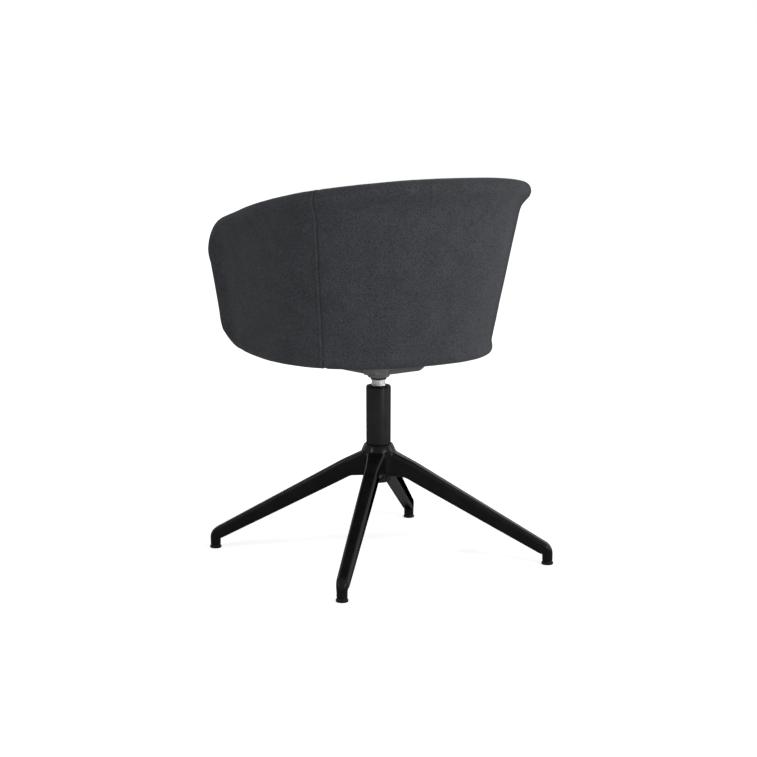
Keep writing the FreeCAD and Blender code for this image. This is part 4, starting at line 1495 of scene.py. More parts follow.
@dataclass
class Repeater:
    """A Geometry Nodes group that sets a small form at even steps along lines."""

    KINDS = {
        "start": "NodeGroupInput", "end": "NodeGroupOutput", "curve": "GeometryNodeMeshToCurve",
        "steps": "GeometryNodeResampleCurve", "places": "GeometryNodeInstanceOnPoints",
        "turn": "FunctionNodeAlignRotationToVector", "way": "GeometryNodeInputTangent",
        "capture": "GeometryNodeCaptureAttribute", "form": "GeometryNodeMeshUVSphere",
        "shape": "GeometryNodeTransform", "size": "ShaderNodeCombineXYZ", "half": "ShaderNodeMath",
        "finish": "GeometryNodeSetMaterial", "real": "GeometryNodeRealizeInstances"}
    LINKS = (
        "start.Geometry > curve.Mesh", "curve.Curve > steps.Curve", "start.Pitch > steps.Length",
        "steps.Curve > capture.Geometry", "way.Tangent > capture.Way", "capture.Geometry > places.Points",
        "capture.Way > turn.Vector", "turn.Rotation > places.Rotation", "start.Length > half.0",
        "start.Radius > size.X", "start.Radius > size.Y", "half.0 > size.Z", "size.Vector > shape.Scale",
        "form.Mesh > shape.Geometry", "shape.Geometry > places.Instance", "places.Instances > real.Geometry",
        "real.Geometry > finish.Geometry", "finish.Geometry > end.Geometry")

    name: str
    sizes: dict[str, float]

    def group(self, material: Material) -> NodeTree:
        """Build the node group.

        Args:
            material: what the small forms are made of.

        Returns:
            The group.
        """
        group = bpy.data.node_groups.new(self.name, "GeometryNodeTree")
        face = group.interface
        face.new_socket("Geometry", in_out="INPUT", socket_type="NodeSocketGeometry")
        for key in self.sizes:
            face.new_socket(key, in_out="INPUT", socket_type="NodeSocketFloat")
        face.new_socket("Geometry", in_out="OUTPUT", socket_type="NodeSocketGeometry")
        nodes = plant(group, self.KINDS)
        nodes["steps"].mode = "LENGTH"
        nodes["turn"].axis = "Z"
        nodes["capture"].capture_items.new("VECTOR", "Way")
        for key, value in (("Segments", 8), ("Rings", 6), ("Radius", 1)):
            nodes["form"].inputs[key].default_value = value
        nodes["half"].operation = "MULTIPLY"
        nodes["half"].inputs[1].default_value = 0.5
        nodes["finish"].inputs["Material"].default_value = material
        wire(group, nodes, self.LINKS)
        return group

    def run(self, name: str, lines: Sequence[Grid], material: Material,
            closed: bool = False) -> Object:
        """Run the group along lines, and keep the result as plain mesh.

        Args:
            name: the new piece's name.
            lines: the points of each line.
            material: what the small forms are made of.
            closed: whether a line's last point joins its first.

        Returns:
            The piece.
        """
        spots, edges = [], []
        for line in lines:
            start, count = len(spots), len(line)
            spots += line.tolist()
            steps = range(count if closed else count - 1)
            edges += [(start + step, start + (step + 1) % count) for step in steps]
        mesh = bpy.data.meshes.new(name)
        mesh.from_pydata(spots, edges, [])
        piece = in_scene(name, mesh)
        modifier = piece.modifiers.new(self.name, "NODES")
        modifier.node_group = self.group(material)
        for item in modifier.node_group.interface.items_tree:
            if item.in_out == "INPUT" and item.name in self.sizes:
                modifier[item.identifier] = self.sizes[item.name]
        apply_modifiers(piece)
        return piece


# Seat cushion


@dataclass
class SeatCushion:
    """The seat's crowned cushion with its border round the front."""

    form: ShellForm
    front_ahead: float = 0.285
    curve_ahead: float = 0.070
    gap: float = 0.5 * MM
    shoulder: float = 0.446
    crown: float = 0.468
    crown_tuck: float = 0.130
    split: float = 0.4382
    hem: float = 0.020
    dome: float = 3.0 * MM
    valley: float = 1.5 * MM
    valley_reach: float = 6 * MM
    cloth: float = 1.4 * MM
    around: int = 240
    crown_shares: tuple[Span, ...] = (
        (0, 0), (0.02, 0.3), (0.07, 0.57), (0.18, 0.77), (0.4, 0.9), (0.7, 0.97), (1, 1))
    crown_steps: tuple[tuple[float, float, int], ...] = ((0, 0.02, 4), (0.03, 0.18, 8), (0.22, 1, 14))
    crown_soften: int = 3
    face_foot: float = 3 * MM
    face_rows: int = 8
    middle_back: float = -0.06
    dome_shares: tuple[float, ...] = (0.25, 0.5, 0.75, 0.92, 1.0)
    swells: tuple[tuple[float, float, float], ...] = ((1.2 * MM, 24, 1.3), (0.3 * MM, 110, 0.4))
    swell_reach: float = 14 * MM
    fold_under: float = 6 * MM
    roll_tuck: float = 3.5 * MM
    roll_start: float = 0.15
    roll_shares: Span = (0.5, 0.55)
    border_rows: int = 7
    border_top: float = 1.5 * MM
    seam_rows: tuple[Span, ...] = ((0.4 * MM, 1.2 * MM), (0.2 * MM, 3.2 * MM))
    foam_bottom: float = 0.4320
    foam_depth: float = 3 * MM

    def outline(self, height: float, tuck: float, ahead_only: bool = False) -> Grid:
        """The cushion's outline at a height.

        Args:
            height: the height.
            tuck: how far inside its face.
            ahead_only: whether only the stretch ahead of the arms is wanted.

        Returns:
            The points, from the left side round the back to the right side and round the front.
        """
        form = self.form
        rise = height - form.bottom_height
        back, front = [], []
        quarter = self.around // 4
        for turn in np.linspace(math.pi / 2, -math.pi / 2, 2 * quarter + 1):
            point, normal = form.oval(form.half_width, form.back_depth, float(turn))
            side = abs(point[0] * normal[0]) / form.half_width * form.side_lean
            lean = max(point[1] * normal[1], 0) / form.back_depth * form.back_lean
            spot = point + normal * (rise * (side + lean) - form.thickness - self.gap - tuck)
            back.append((spot[0], spot[1] - form.plan_centre_ahead, height))
        wide = form.half_width + rise * form.side_lean - form.thickness - self.gap
        deep = self.front_ahead - self.curve_ahead
        for turn in np.linspace(-math.pi / 2, -3 * math.pi / 2, 2 * quarter + 1):
            point, normal = form.oval(wide, deep, float(turn))
            spot = point - normal * tuck
            front.append((spot[0], spot[1] - self.curve_ahead, height))
        return np.array(front if ahead_only else back + front)

    def crown_rows(self) -> list[tuple[float, float]]:
        """Heights and insets of the cushion's rows, shoulder first."""
        insets, rises = np.array(self.crown_shares).T
        shares = np.concatenate([np.linspace(*steps) for steps in self.crown_steps])
        smooth = np.interp(shares, insets, rises)
        for _ in range(self.crown_soften):
            smooth[1:-1] = (smooth[:-2] + 2 * smooth[1:-1] + smooth[2:]) / 4
        return [(self.shoulder + (self.crown - self.shoulder) * rise, self.crown_tuck * inset)
                for inset, rise in zip(shares, smooth)]

    def build(self, book: Book) -> None:
        """Make the cushion's cloth, its border and its foam.

        Args:
            book: every finish by its slot.
        """
        cloth = book["charcoal_cloth"]
        face = [(z, 0.0) for z in np.linspace(self.split - self.face_foot, self.shoulder, self.face_rows)]
        levels = face[:-1] + self.crown_rows()
        rows = [self.outline(z, tuck) for z, tuck in levels]
        centre = np.array([0, self.middle_back, self.crown + self.dome])
        last = rows[-1]
        for share in self.dome_shares:
            row = last + (centre - last) * share
            row[:, 2] = self.crown + self.dome * (1 - (1 - share) ** 2)
            rows.append(row)
        points = np.stack(rows)
        points = np.concatenate([points, points[:, :1]], axis=1)
        edge = np.array([abs(z - self.split) for z, _ in levels] + [1.0] * len(self.dome_shares))[:, None]
        sunk = waves(points, self.swells) * np.clip(edge / self.swell_reach, 0, 1)
        points = points + np.array([0, 0, 1]) * sunk[..., None]
        inward = points - points.mean(axis=(0, 1))
        inward[..., 2] = 0
        points = points - unit(inward) * (self.valley * ease(edge, self.valley_reach))[..., None]
        self.cover("seat_cushion", points, cloth, "seat_cover")
        self.border(cloth)
        self.foam(book["foam"])

    def cover(self, name: str, points: Grid, material: Material, node: str) -> None:
        """Make one cloth of the seat.

        Args:
            name: the piece's name.
            points: its face, by row and column.
            material: the cloth.
            node: the CAD node that it stands for.
        """
        mesh = grid_mesh(name, points, travelled(points, 1), travelled(points, 0))
        piece = piece_of(name, mesh, material)
        thicken(piece, self.cloth, -1)
        settle(piece, Part.SEAT, [node])

    def border(self, cloth: Material) -> None:
        """Make the border round the seat's front, turned under the board.

        Args:
            cloth: the cloth.
        """
        low = self.form.bottom_height
        rise = self.split - low
        round_share, straight_share = self.roll_shares
        levels = [(low, self.hem), (low, self.hem * 0.5), (low, self.fold_under)]
        levels += [(low + rise * (1 - math.cos(turn)) * round_share, self.roll_tuck * (1 - math.sin(turn)))
                   for turn in np.linspace(self.roll_start, math.pi / 2, self.border_rows)]
        levels += [(z, 0.0) for z in
                   np.linspace(low + rise * straight_share, self.split - self.border_top, self.border_rows)]
        levels += [(self.split - below, tuck) for below, tuck in self.seam_rows]
        rows = []
        for z, tuck in levels:
            sunk = self.valley * float(ease(np.array(abs(z - self.split)), self.valley_reach))
            rows.append(self.outline(z, tuck + sunk, True))
        self.cover("seat_border", np.stack(rows), cloth, "seat_front_cover")

    def foam(self, material: Material) -> None:
        """Make the foam inside the cushion.

        Args:
            material: the foam.
        """
        depth = self.foam_depth
        levels = [(self.foam_bottom, depth)] + [(z - depth, tuck + depth) for z, tuck in self.crown_rows()]
        points = np.stack([self.outline(z, tuck) for z, tuck in levels])[:, ::2]
        count, columns = points.shape[:2]
        index = np.arange(count * columns).reshape(count, columns)
        ends = [index[0, ::-1].tolist(), index[-1].tolist()]
        faces = grid_faces(count, columns, round_columns=True) + ends
        piece = piece_of("seat_padding", mesh_over("seat_padding", points, faces), material)
        settle(piece, Part.SEAT, ["seat_foam"])


# Underside


@dataclass
class Underside:
    """The black felt stretched over the underside and stapled round its edge."""

    cushion: SeatCushion
    inset: float = 0.022
    hole_radius: float = 0.104
    height: float = 0.4187
    rows: int = 26
    sag: float = 1.1 * MM
    pleats: Span = (23, 0.25)
    cloth: float = 1.1 * MM
    staple_inset: float = 7 * MM
    staple_pitch: float = 34 * MM
    staple_length: float = 10 * MM
    staple_radius: float = 0.6 * MM
    staple_depth: float = 0.75 * MM

    def build(self, book: Book) -> None:
        """Make the sheet and its staples.

        Args:
            book: every finish by its slot.
        """
        edge = self.cushion.outline(self.height, self.inset)
        closed = np.concatenate([edge, edge[:1]])
        hole = np.concatenate([unit(closed[:, :2]) * self.hole_radius, closed[:, 2:]], axis=1)
        shares = np.linspace(0, 1, self.rows)[:, None, None]
        points = closed * (1 - shares) + hole * shares
        turned = np.linspace(0, 2 * math.pi, len(closed))
        count, height = self.pleats
        inwards = shares[..., 0]
        loose = np.sin(inwards * math.pi) * (1 + height * np.sin(turned * count) * (1 - inwards))
        points[..., 2] -= self.sag * loose
        across = points[..., 0] - points[..., 0].min()
        along = points[..., 1] - points[..., 1].min()
        mesh = grid_mesh("underside_sheet", points, across, along)
        piece = piece_of("underside_sheet", mesh, book["felt"])
        thicken(piece, self.cloth, 0)
        settle(piece, Part.SEAT, ["underside_felt"])
        self.staples(book["bolt_steel"])

    def staples(self, material: Material) -> None:
        """Set staples round the sheet's edge.

        Args:
            material: the staples' metal.
        """
        line = self.cushion.outline(self.height - self.staple_depth, self.inset + self.staple_inset)
        sizes = {"Pitch": self.staple_pitch, "Length": self.staple_length, "Radius": self.staple_radius}
        piece = Repeater("staples", sizes).run("felt_staples", [line], material, closed=True)
        settle(piece, Part.SEAT)


# Column


@dataclass
class Column:
    """The pressed tube, its cap, the spindle and the dark ring above it."""

    foot_height: float = 0.157
    radius: float = 0.0252
    foot_radius: float = 0.0246
    top_height: float = 0.3512
    bore_radius: float = 0.0218
    floor: float = 3.5 * MM
    cap_radius: float = 0.0248
    cap_height: float = 4.0 * MM
    cap_bottom: float = 0.230
    spindle_radius: float = 0.014
    spindle_bottom: float = 0.16456
    spindle_top: float = 0.408
    pin_radius: float = 0.005
    pin_neck: float = 0.0042
    pin_levels: tuple[float, float, float] = (0.1529, 0.1553, 0.1567)
    ring_radius: float = 0.0160
    ring_levels: tuple[float, float] = (0.3672, 0.3698)
    marks: tuple[float, ...] = (0.3582, 0.3606, 0.3630, 0.3654)
    mark_depth: float = 0.12 * MM
    play: float = 0.06 * MM
    fit: float = 0.05 * MM
    steps: int = 128

    def build(self, book: Book) -> None:
        """Make the column's visible pieces.

        Args:
            book: every finish by its slot.
        """
        foot, top, floor = self.foot_height, self.top_height, self.foot_height + self.floor
        hole = self.pin_radius + self.play
        tube = lathe("column_sleeve", [
            (hole, foot, 0), (self.foot_radius, foot, 2.8 * MM), (self.radius, top, 0.8 * MM),
            (self.bore_radius, top, 0.3 * MM), (self.bore_radius, floor, 0), (hole, floor, 0)], self.steps)
        settle(piece_of("column_sleeve", tube, book["black_tube"]), Part.BASE, ["column_tube"])
        low, high, sleeve = top + self.fit, top + self.cap_height, self.bore_radius - self.fit
        hole, lip = self.spindle_radius + self.play, high - 0.9 * MM
        cap = lathe("column_cap", [
            (hole, self.cap_bottom, 0), (sleeve, self.cap_bottom, 0.5 * MM), (sleeve, low, 0),
            (self.cap_radius, low, 0.4 * MM), (self.cap_radius, high, 3.0 * MM),
            (hole + 2.5 * MM, high, 0.3 * MM), (hole + 1.5 * MM, lip, 0.3 * MM), (hole, lip, 0)],
            self.steps, bevel_steps=6)
        piece = piece_of("column_cap", cap, book["black_plastic"])
        settle(piece, Part.BASE, ["guide_bush"])
        low, high = self.ring_levels
        inside = self.spindle_radius + self.fit
        ring = lathe("dark_ring", [(inside, low, 0), (self.ring_radius, low, 0.6 * MM),
                                   (self.ring_radius, high, 0.3 * MM), (inside, high, 0)])
        settle(piece_of("dark_ring", ring, book["ring_rubber"]), Part.SEAT, ["dust_ring"])
        self.turn_spindle(book["spindle_steel"])

    def turn_spindle(self, material: Material) -> None:
        """Make the spindle, with the shallow rings that turning left on its bare part.

        Args:
            material: the spindle's metal.
        """
        radius, pin = self.spindle_radius, self.pin_radius
        end, groove, groove_top = self.pin_levels
        profile = [(0.0, end, 0), (pin, end, 0.4 * MM), (pin, groove, 0), (self.pin_neck, groove, 0),
                   (self.pin_neck, groove_top, 0), (pin, groove_top, 0), (pin, self.spindle_bottom, 0),
                   (radius, self.spindle_bottom, 0.5 * MM)]
        for height in self.marks:
            profile += [(radius, height - self.mark_depth, 0), (radius - self.mark_depth, height, 0),
                        (radius, height + self.mark_depth, 0)]
        profile += [(radius, self.spindle_top, 0.5 * MM), (0.0, self.spindle_top, 0)]
        mesh = lathe("turned_spindle", profile, self.steps, closed=False)
        settle(piece_of("turned_spindle", mesh, material), Part.SEAT, ["spindle"])


# Castings


def loft(work: bmesh.types.BMesh, rings: Sequence[Sequence[bmesh.types.BMVert]]) -> None:
    """Join rings of vertices one after another and close both ends.

    Args:
        work: the mesh that they are in.
        rings: the rings, each with the same number of vertices.
    """
    count = len(rings[0])
    for one, two in zip(rings, rings[1:]):
        for step in range(count):
            after = (step + 1) % count
            work.faces.new((one[step], one[after], two[after], two[step]))
    work.faces.new(rings[0][::-1])
    work.faces.new(rings[-1])


def finished(work: bmesh.types.BMesh, name: str) -> Mesh:
    """A mesh of a working mesh, its faces turned outwards.

    Args:
        work: the working mesh, which is freed.
        name: the mesh's name.

    Returns:
        The mesh.
    """
    bmesh.ops.recalc_face_normals(work, faces=work.faces)
    mesh = bpy.data.meshes.new(name)
    work.to_mesh(mesh)
    work.free()
    return mesh


@dataclass
class FourLegBase:
    """The cast base: legs lofted from a hub and turned down into feet, blended as one casting."""

    circle: float = 0.347
    top_at_axis: float = 0.2418
    bottom_at_axis: float = 0.1962
    top_at_foot: float = 0.0430
    bottom_at_foot: float = 0.0142
    width: float = 0.0284
    tip_width: float = 0.0245
    edge: float = 0.007
    root_x: float = 0.066
    start_x: float = 0.012
    start_width: float = 0.042
    start_top: float = 0.230
    start_bottom: float = 0.171
    foot_radius: float = 0.0106
    bend_radius: float = 0.0155
    foot_bottom: float = 0.0076
    hub_top: float = 0.2355
    hub_bottom: float = 0.1675
    bore_radius: float = 0.02505
    glide_radius: float = 0.0119
    stem_radius: float = 0.004
    stem_top: float = 0.022
    hub_radii: tuple[float, ...] = (0.0285, 0.0315, 0.0345, 0.0310, 0.0284)
    root_start: Span = (0.028, 5 * MM)
    root_end: Span = (0.082, 30 * MM)
    root_top: Span = (7 * MM, 8 * MM)
    root_smoothing: tuple[float, int] = (0.6, 45)
    all_smoothing: tuple[float, int] = (0.5, 3)
    weight_levels: int = 8
    corner_points: int = 6
    root_rows: int = 12
    leg_rows: int = 24
    bend_rows: int = 9
    voxel: float = 1.45 * MM

    def section(self, wide: float, deep: float, radius: float, centre: np.ndarray, tilt: float) -> Grid:
        """A rounded rectangle square to a run that slopes down.

        Args:
            wide: its width.
            deep: its depth.
            radius: its corners' radius.
            centre: its centre.
            tilt: how steep the run is, in radians.

        Returns:
            The points round it.
        """
        points = []
        for number, (across, up) in enumerate(((1, 1), (-1, 1), (-1, -1), (1, -1))):
            for angle in np.linspace(number * math.pi / 2, (number + 1) * math.pi / 2, self.corner_points):
                y = across * (wide / 2 - radius) + radius * math.cos(angle)
                z = up * (deep / 2 - radius) + radius * math.sin(angle)
                points.append(centre + np.array([z * math.sin(tilt), y, z * math.cos(tilt)]))
        return np.array(points)

    def sections(self) -> list[Grid]:
        """The sections along one leg, from inside the hub to the foot's end."""
        def top(x: float) -> float:
            """Height of the leg's upper edge, that far from the axis."""
            return self.top_at_axis - (self.top_at_axis - self.top_at_foot) * x / self.circle

        def bottom(x: float) -> float:
            """Height of the leg's lower edge, that far from the axis."""
            return self.bottom_at_axis - (self.bottom_at_axis - self.bottom_at_foot) * x / self.circle

        def middle(x: float) -> np.ndarray:
            """Place of the leg's middle, that far from the axis."""
            return np.array([x, 0, (top(x) + bottom(x)) / 2])

        slope = math.atan2(middle(0)[2] - middle(self.circle)[2], self.circle)
        run_in = self.bend_radius * math.tan((math.pi / 2 - slope) / 2)
        bend_start = self.circle - run_in * math.cos(slope)
        tip_depth = (top(bend_start) - bottom(bend_start)) * math.cos(slope)
        start = np.array([self.start_x, 0, (self.start_top + self.start_bottom) / 2])
        first = self.section(self.start_width, self.start_top - self.start_bottom, self.edge, start, 0)
        root_depth = (top(self.root_x) - bottom(self.root_x)) * math.cos(slope)
        root = self.section(self.width, root_depth, self.edge, middle(self.root_x), slope)
        rows = [first + (root - first) * share for share in np.linspace(0, 1, self.root_rows)[:-1]]
        for share in np.linspace(0, 1, self.leg_rows):
            x = self.root_x + (bend_start - self.root_x) * share
            wide = self.width + (self.tip_width - self.width) * share
            deep = (top(x) - bottom(x)) * math.cos(slope)
            rows.append(self.section(wide, deep, self.edge, middle(x), slope))
        centre = np.array([self.circle - self.bend_radius, 0, middle(self.circle)[2] - run_in])
        for share in np.linspace(0, 1, self.bend_rows)[1:]:
            turn = slope + (math.pi / 2 - slope) * share
            out = np.array([math.sin(turn), 0, math.cos(turn)])
            deep = tip_depth + (2 * self.foot_radius - tip_depth) * share
            wide = self.tip_width + (2 * self.foot_radius - self.tip_width) * share
            radius = self.edge + (0.96 * self.foot_radius - self.edge) * share
            rows.append(self.section(wide, deep, radius, centre + out * self.bend_radius, turn))
        last = rows[-1]
        for share in (0.5, 1.0):
            low = last.copy()
            low[:, 2] = last[:, 2] + (self.foot_bottom - last[:, 2]) * share
            rows.append(low)
        return rows

    def rough_mesh(self) -> Mesh:
        """The hub and the legs as closed forms that pass through each other."""
        work = bmesh.new()
        hub = [
            (NEAR_AXIS, self.hub_bottom, 0), (self.hub_radii[0], self.hub_bottom, 1.5 * MM),
            (self.hub_radii[1], self.hub_bottom + 7 * MM, 3 * MM),
            (self.hub_radii[2], self.hub_top - 13 * MM, 4 * MM),
            (self.hub_radii[3], self.hub_top - 5 * MM, 4 * MM),
            (self.hub_radii[4], self.hub_top, 1.2 * MM), (NEAR_AXIS, self.hub_top, 0)]
        work.from_mesh(lathe("hub", hub))
        sections = self.sections()
        for angle in LEG_TURNS:
            across, along = math.sin(angle), math.cos(angle)
            turn = np.array([[along, -across, 0], [across, along, 0], [0, 0, 1]])
            loft(work, [[work.verts.new(turn @ spot) for spot in row] for row in sections])
        bmesh.ops.remove_doubles(work, verts=work.verts, dist=0.01 * MM)
        return finished(work, "base_rough")

    def build(self, book: Book) -> None:
        """Make the casting: remesh, blend the roots, then bore the hub.

        Args:
            book: every finish by its slot.
        """
        casting = book["black_casting"]
        piece = piece_of("cast_base", self.rough_mesh(), casting)
        grid = piece.modifiers.new("grid", "REMESH")
        grid.mode, grid.voxel_size = "VOXEL", self.voxel
        apply_modifiers(piece)
        smooth_faces(piece.data)
        self.blend_roots(piece)
        hole = (self.bore_radius, self.hub_bottom - 4 * MM, self.hub_top + 4 * MM, 0.0, 0.0)
        bore(piece, [hole], 96, casting)
        settle(piece, Part.BASE, ["base_casting"])
        self.feet(book["glide_plastic"])

    def feet(self, material: Material) -> None:
        """Make the four glides, each a rounded pad under a waist, with its stem in the foot.

        Args:
            material: the glides' plastic.
        """
        radius, top = self.glide_radius, self.foot_bottom
        glide = lathe("glide", [
            (0.0, 0.0, 0), (radius, 0.0, 1.6 * MM), (radius, 4.8 * MM, 0.9 * MM),
            (radius - 1.6 * MM, 5.6 * MM, 0.4 * MM), (radius - 1.6 * MM, top, 0.2 * MM),
            (self.stem_radius, top, 0), (self.stem_radius, self.stem_top, 0.5 * MM),
            (0.0, self.stem_top, 0)], 64, closed=False)
        out = Matrix.Translation((self.circle, 0, 0))
        places = [Matrix.Rotation(turn, 4, "Z") @ out for turn in LEG_TURNS]
        mesh = copies("foot_glides", glide, places)
        settle(piece_of("foot_glides", mesh, material), Part.BASE, ["glides"])

    def blend_roots(self, piece: Object) -> None:
        """Round the corners where the legs leave the hub, and ease the whole surface a little.

        Args:
            piece: the casting.
        """
        spots = np.empty(len(piece.data.vertices) * 3)
        piece.data.vertices.foreach_get("co", spots)
        spots = spots.reshape(-1, 3)
        radius = np.linalg.norm(spots[:, :2], axis=1)
        inner = (radius - self.root_start[0]) / self.root_start[1]
        outer = (self.root_end[0] - radius) / self.root_end[1]
        under_collar = (self.hub_top - self.root_top[0] - spots[:, 2]) / self.root_top[1]
        near = np.clip(np.minimum.reduce([inner, outer, under_collar]), 0, 1)
        full = self.weight_levels
        for name, weights, (factor, steps) in (
                ("roots", near, self.root_smoothing), ("all", np.ones(len(spots)), self.all_smoothing)):
            group = piece.vertex_groups.new(name=name)
            for level in range(1, full + 1):
                chosen = np.nonzero(np.round(weights * full).astype(int) == level)[0]
                if len(chosen):
                    group.add(chosen.tolist(), level / full, "REPLACE")
            smooth = piece.modifiers.new(name, "SMOOTH")
            smooth.factor, smooth.iterations, smooth.vertex_group = factor, steps, name
        apply_modifiers(piece)


# Seat plate


@dataclass
class SeatPlate:
    """The die-cast plate: a boss and four arms, blended as one casting."""

    boss_bottom: float = 0.3698
    tip_radius: float = 0.016
    shoulder_radius: float = 0.0240
    shoulder_height: float = 0.3780
    root_radius: float = 0.040
    top: float = 0.4198
    reach: float = 0.096
    arm_width: float = 0.030
    end_width: float = 0.024
    end_depth: float = 0.0330
    end_radius: float = 0.016
    bolt_circle: float = 0.080
    well_radius: float = 0.0078
    seat_height: float = 0.4078
    socket_radius: float = 0.01402
    socket_top: float = 0.408
    draft: float = 0.06
    draft_height: float = 0.045
    round_points: int = 8
    smoothing: tuple[float, int] = (0.5, 7)
    voxel: float = 1.0 * MM

    def arm(self, work: bmesh.types.BMesh, angle: float) -> None:
        """Add one arm as a closed form.

        Args:
            work: the working mesh that it goes into.
            angle: its direction.
        """
        radius, low = self.end_radius, self.top - self.end_depth
        line = [(0.0, self.top), (self.reach, self.top)]
        line += [(self.reach - radius + radius * math.cos(turn), low + radius - radius * math.sin(turn))
                 for turn in np.linspace(0, math.pi / 2, self.round_points)]
        line += [(self.shoulder_radius, self.shoulder_height), (0.0, self.shoulder_height)]
        rings = []
        for side in (-1, 1):
            ring = []
            for x, z in line:
                wide = (self.arm_width + (self.end_width - self.arm_width) * x / self.reach) / 2
                y = side * wide * (1 + self.draft * (z - self.top) / self.draft_height)
                ring.append(work.verts.new((x * math.cos(angle) - y * math.sin(angle),
                                            x * math.sin(angle) + y * math.cos(angle), z)))
            rings.append(ring)
        loft(work, rings)

    def build(self, book: Book) -> None:
        """Make the plate.

        Args:
            book: every finish by its slot.
        """
        casting = book["grey_casting"]
        work = bmesh.new()
        work.from_mesh(lathe("boss", [
            (NEAR_AXIS, self.boss_bottom, 0), (self.tip_radius, self.boss_bottom, 0.6 * MM),
            (self.shoulder_radius - 2 * MM, self.boss_bottom + 2.4 * MM, 4 * MM),
            (self.shoulder_radius, self.shoulder_height, 3 * MM), (self.root_radius, self.top, 0),
            (NEAR_AXIS, self.top, 0)]))
        for angle in LEG_TURNS:
            self.arm(work, angle)
        piece = piece_of("cast_plate", finished(work, "plate"), casting)
        grid = piece.modifiers.new("grid", "REMESH")
        grid.mode, grid.voxel_size = "VOXEL", self.voxel
        smooth = piece.modifiers.new("smooth", "SMOOTH")
        smooth.factor, smooth.iterations = self.smoothing
        bore(piece, self.holes(), 48, casting)
        smooth_faces(piece.data)
        settle(piece, Part.SEAT, ["seat_plate"])

    def holes(self) -> list[tuple[float, ...]]:
        """Radius, bottom, top, distance and direction of the socket and the bolt wells."""
        socket = (self.socket_radius, self.boss_bottom - 2 * MM, self.socket_top, 0.0, 0.0)
        return [socket] + [(self.well_radius, self.boss_bottom, self.seat_height, self.bolt_circle, angle)
                           for angle in LEG_TURNS]


# Studio


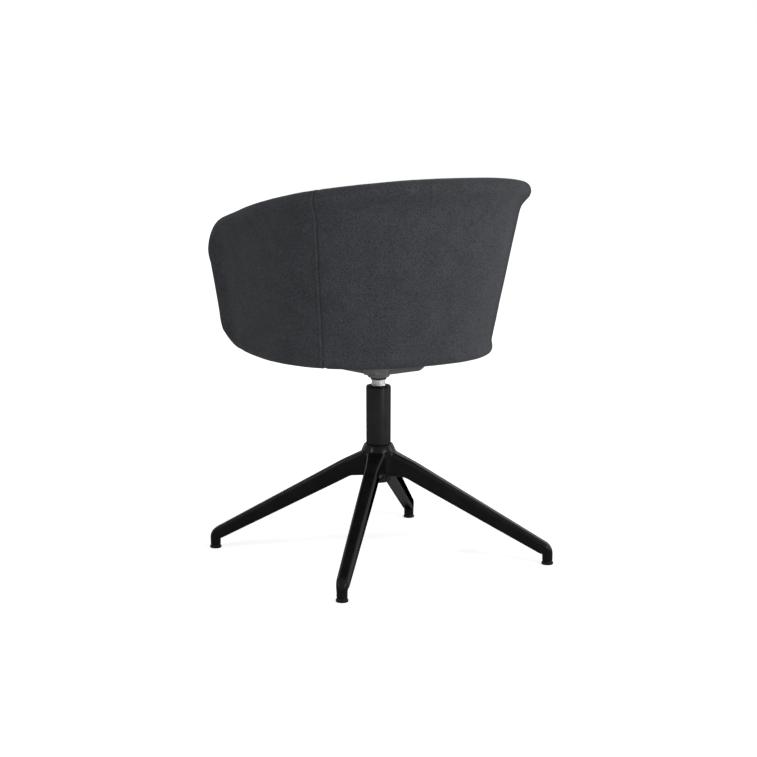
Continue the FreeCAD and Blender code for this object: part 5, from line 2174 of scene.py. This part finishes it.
@dataclass
class Studio:
    """Camera, lamps, floor and background."""

    camera_place: Colour = (1.97569, 2.96141, 0.9286)
    aim: Colour = (0, 0, 0.368)
    lens: float = 84.75
    sensor: float = 36
    fill: float = 0.2
    floor_reach: float = 12
    floor_span: Span = (0.4, 1.1)
    floor_glow: Span = (0.72, 1.0)
    lamps: tuple[tuple[str, Colour, float, float, float], ...] = (
        ("key", (-0.6, 3.4, 1.3), 0.45, 1.4, 42), ("spark", (-1.0, 3.0, 1.3), 0.3, 0.4, 10),
        ("right", (-2.8, 1.3, 1.1), 0.4, 1.1, 19), ("left", (2.8, 0.2, 1.7), 0.35, 0.36, 15),
        ("top", (0.5, 1.4, 2.4), 0.4, 0.3, 2.5))

    @staticmethod
    def stand(thing: Object, place: Sequence[float], aim: Sequence[float]) -> None:
        """Stand a lamp or a camera at a place, turned to look at another."""
        thing.location = place
        thing.rotation_euler = (Vector(aim) - Vector(place)).to_track_quat("-Z", "Y").to_euler()

    def lamp(self, name: str, place: Sequence[float], height: float, size: float, power: float) -> None:
        """Add a soft lamp.

        Args:
            name: its name.
            place: where it stands.
            height: how high up the column's axis it points.
            size: its width.
            power: its power in watts.
        """
        data = bpy.data.lights.new(name, "AREA")
        data.energy, data.size = power, size
        self.stand(in_scene(name, data), place, (0, 0, height))

    def background(self) -> None:
        """A world that lights evenly and shows white."""
        world = bpy.data.worlds.new("studio")
        world.use_nodes = True
        tree = world.node_tree
        tree.nodes.clear()
        nodes = plant(tree, {
            "path": "ShaderNodeLightPath", "seen": "ShaderNodeMath", "mirrored": "ShaderNodeMath",
            "fill": "ShaderNodeBackground", "white": "ShaderNodeBackground", "mix": "ShaderNodeMixShader",
            "out": "ShaderNodeOutputWorld"})
        for key in ("seen", "mirrored"):
            nodes[key].operation = "MAXIMUM"
        for key in ("fill", "white"):
            nodes[key].inputs["Color"].default_value = (1, 1, 1, 1)
        nodes["fill"].inputs["Strength"].default_value = self.fill
        wire(tree, nodes, (
            "path.Is Camera Ray > seen.0", "path.Is Glossy Ray > mirrored.0",
            "path.Is Transmission Ray > mirrored.1", "mirrored.0 > seen.1", "seen.0 > mix.Fac",
            "fill.Background > mix.1", "white.Background > mix.2", "mix.Shader > out.Surface"))
        bpy.context.scene.world = world

    def floor(self) -> None:
        """A pale floor that shows white but keeps the shadow."""
        reach = self.floor_reach
        corners = np.array([(-reach, -reach, 0), (reach, -reach, 0), (reach, reach, 0), (-reach, reach, 0)])
        sheet = NodeSheet("studio_floor")
        glow = sheet.add("ShaderNodeEmission")
        path = sheet.add("ShaderNodeLightPath")
        gate = sheet.add("ShaderNodeMath", operation="MULTIPLY")
        away = sheet.add("ShaderNodeVectorMath", operation="LENGTH")
        sheet.join(sheet.add("ShaderNodeTexCoord").outputs["Object"], away.inputs[0])
        level = sheet.ranged(away.outputs["Value"], *self.floor_glow, *self.floor_span, "SMOOTHSTEP")
        sheet.join(level, gate.inputs[1])
        sheet.join(path.outputs["Is Camera Ray"], gate.inputs[0])
        sheet.join(gate.outputs[0], glow.inputs["Strength"])
        both = sheet.add("ShaderNodeAddShader")
        sheet.join(sheet.shader.outputs[0], both.inputs[0])
        sheet.join(glow.outputs[0], both.inputs[1])
        sheet.join(both.outputs[0], sheet.tree.nodes["Material Output"].inputs["Surface"])
        sheet.finish(base_color=(0.86, 0.86, 0.86, 1), roughness=1.0, specular_ior_level=0.0)
        floor = in_scene("studio_floor", mesh_over("studio_floor", corners, [(0, 1, 2, 3)]))
        floor.data.materials.append(sheet.material)

    def build(self) -> None:
        """Set the studio up."""
        self.background()
        self.floor()
        for lamp in self.lamps:
            self.lamp(*lamp)
        camera = in_scene("camera", bpy.data.cameras.new("camera"))
        camera.data.lens, camera.data.sensor_width = self.lens, self.sensor
        self.stand(camera, self.camera_place, self.aim)
        bpy.context.scene.camera = camera
        bpy.context.scene.view_settings.view_transform = "Standard"


def main() -> None:
    """Dress the frame."""
    logging.basicConfig(level=logging.INFO, format="%(name)s: %(message)s")
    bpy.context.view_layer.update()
    finishes = FinishBook.make()
    finishes.dress_nodes()
    form = ShellForm()
    cushion = SeatCushion(form)
    TubShell(form).build(finishes.book)
    cushion.build(finishes.book)
    Underside(cushion).build(finishes.book)
    Column().build(finishes.book)
    FourLegBase().build(finishes.book)
    SeatPlate().build(finishes.book)
    Studio().build()


if __name__ == "__main__":
    main()
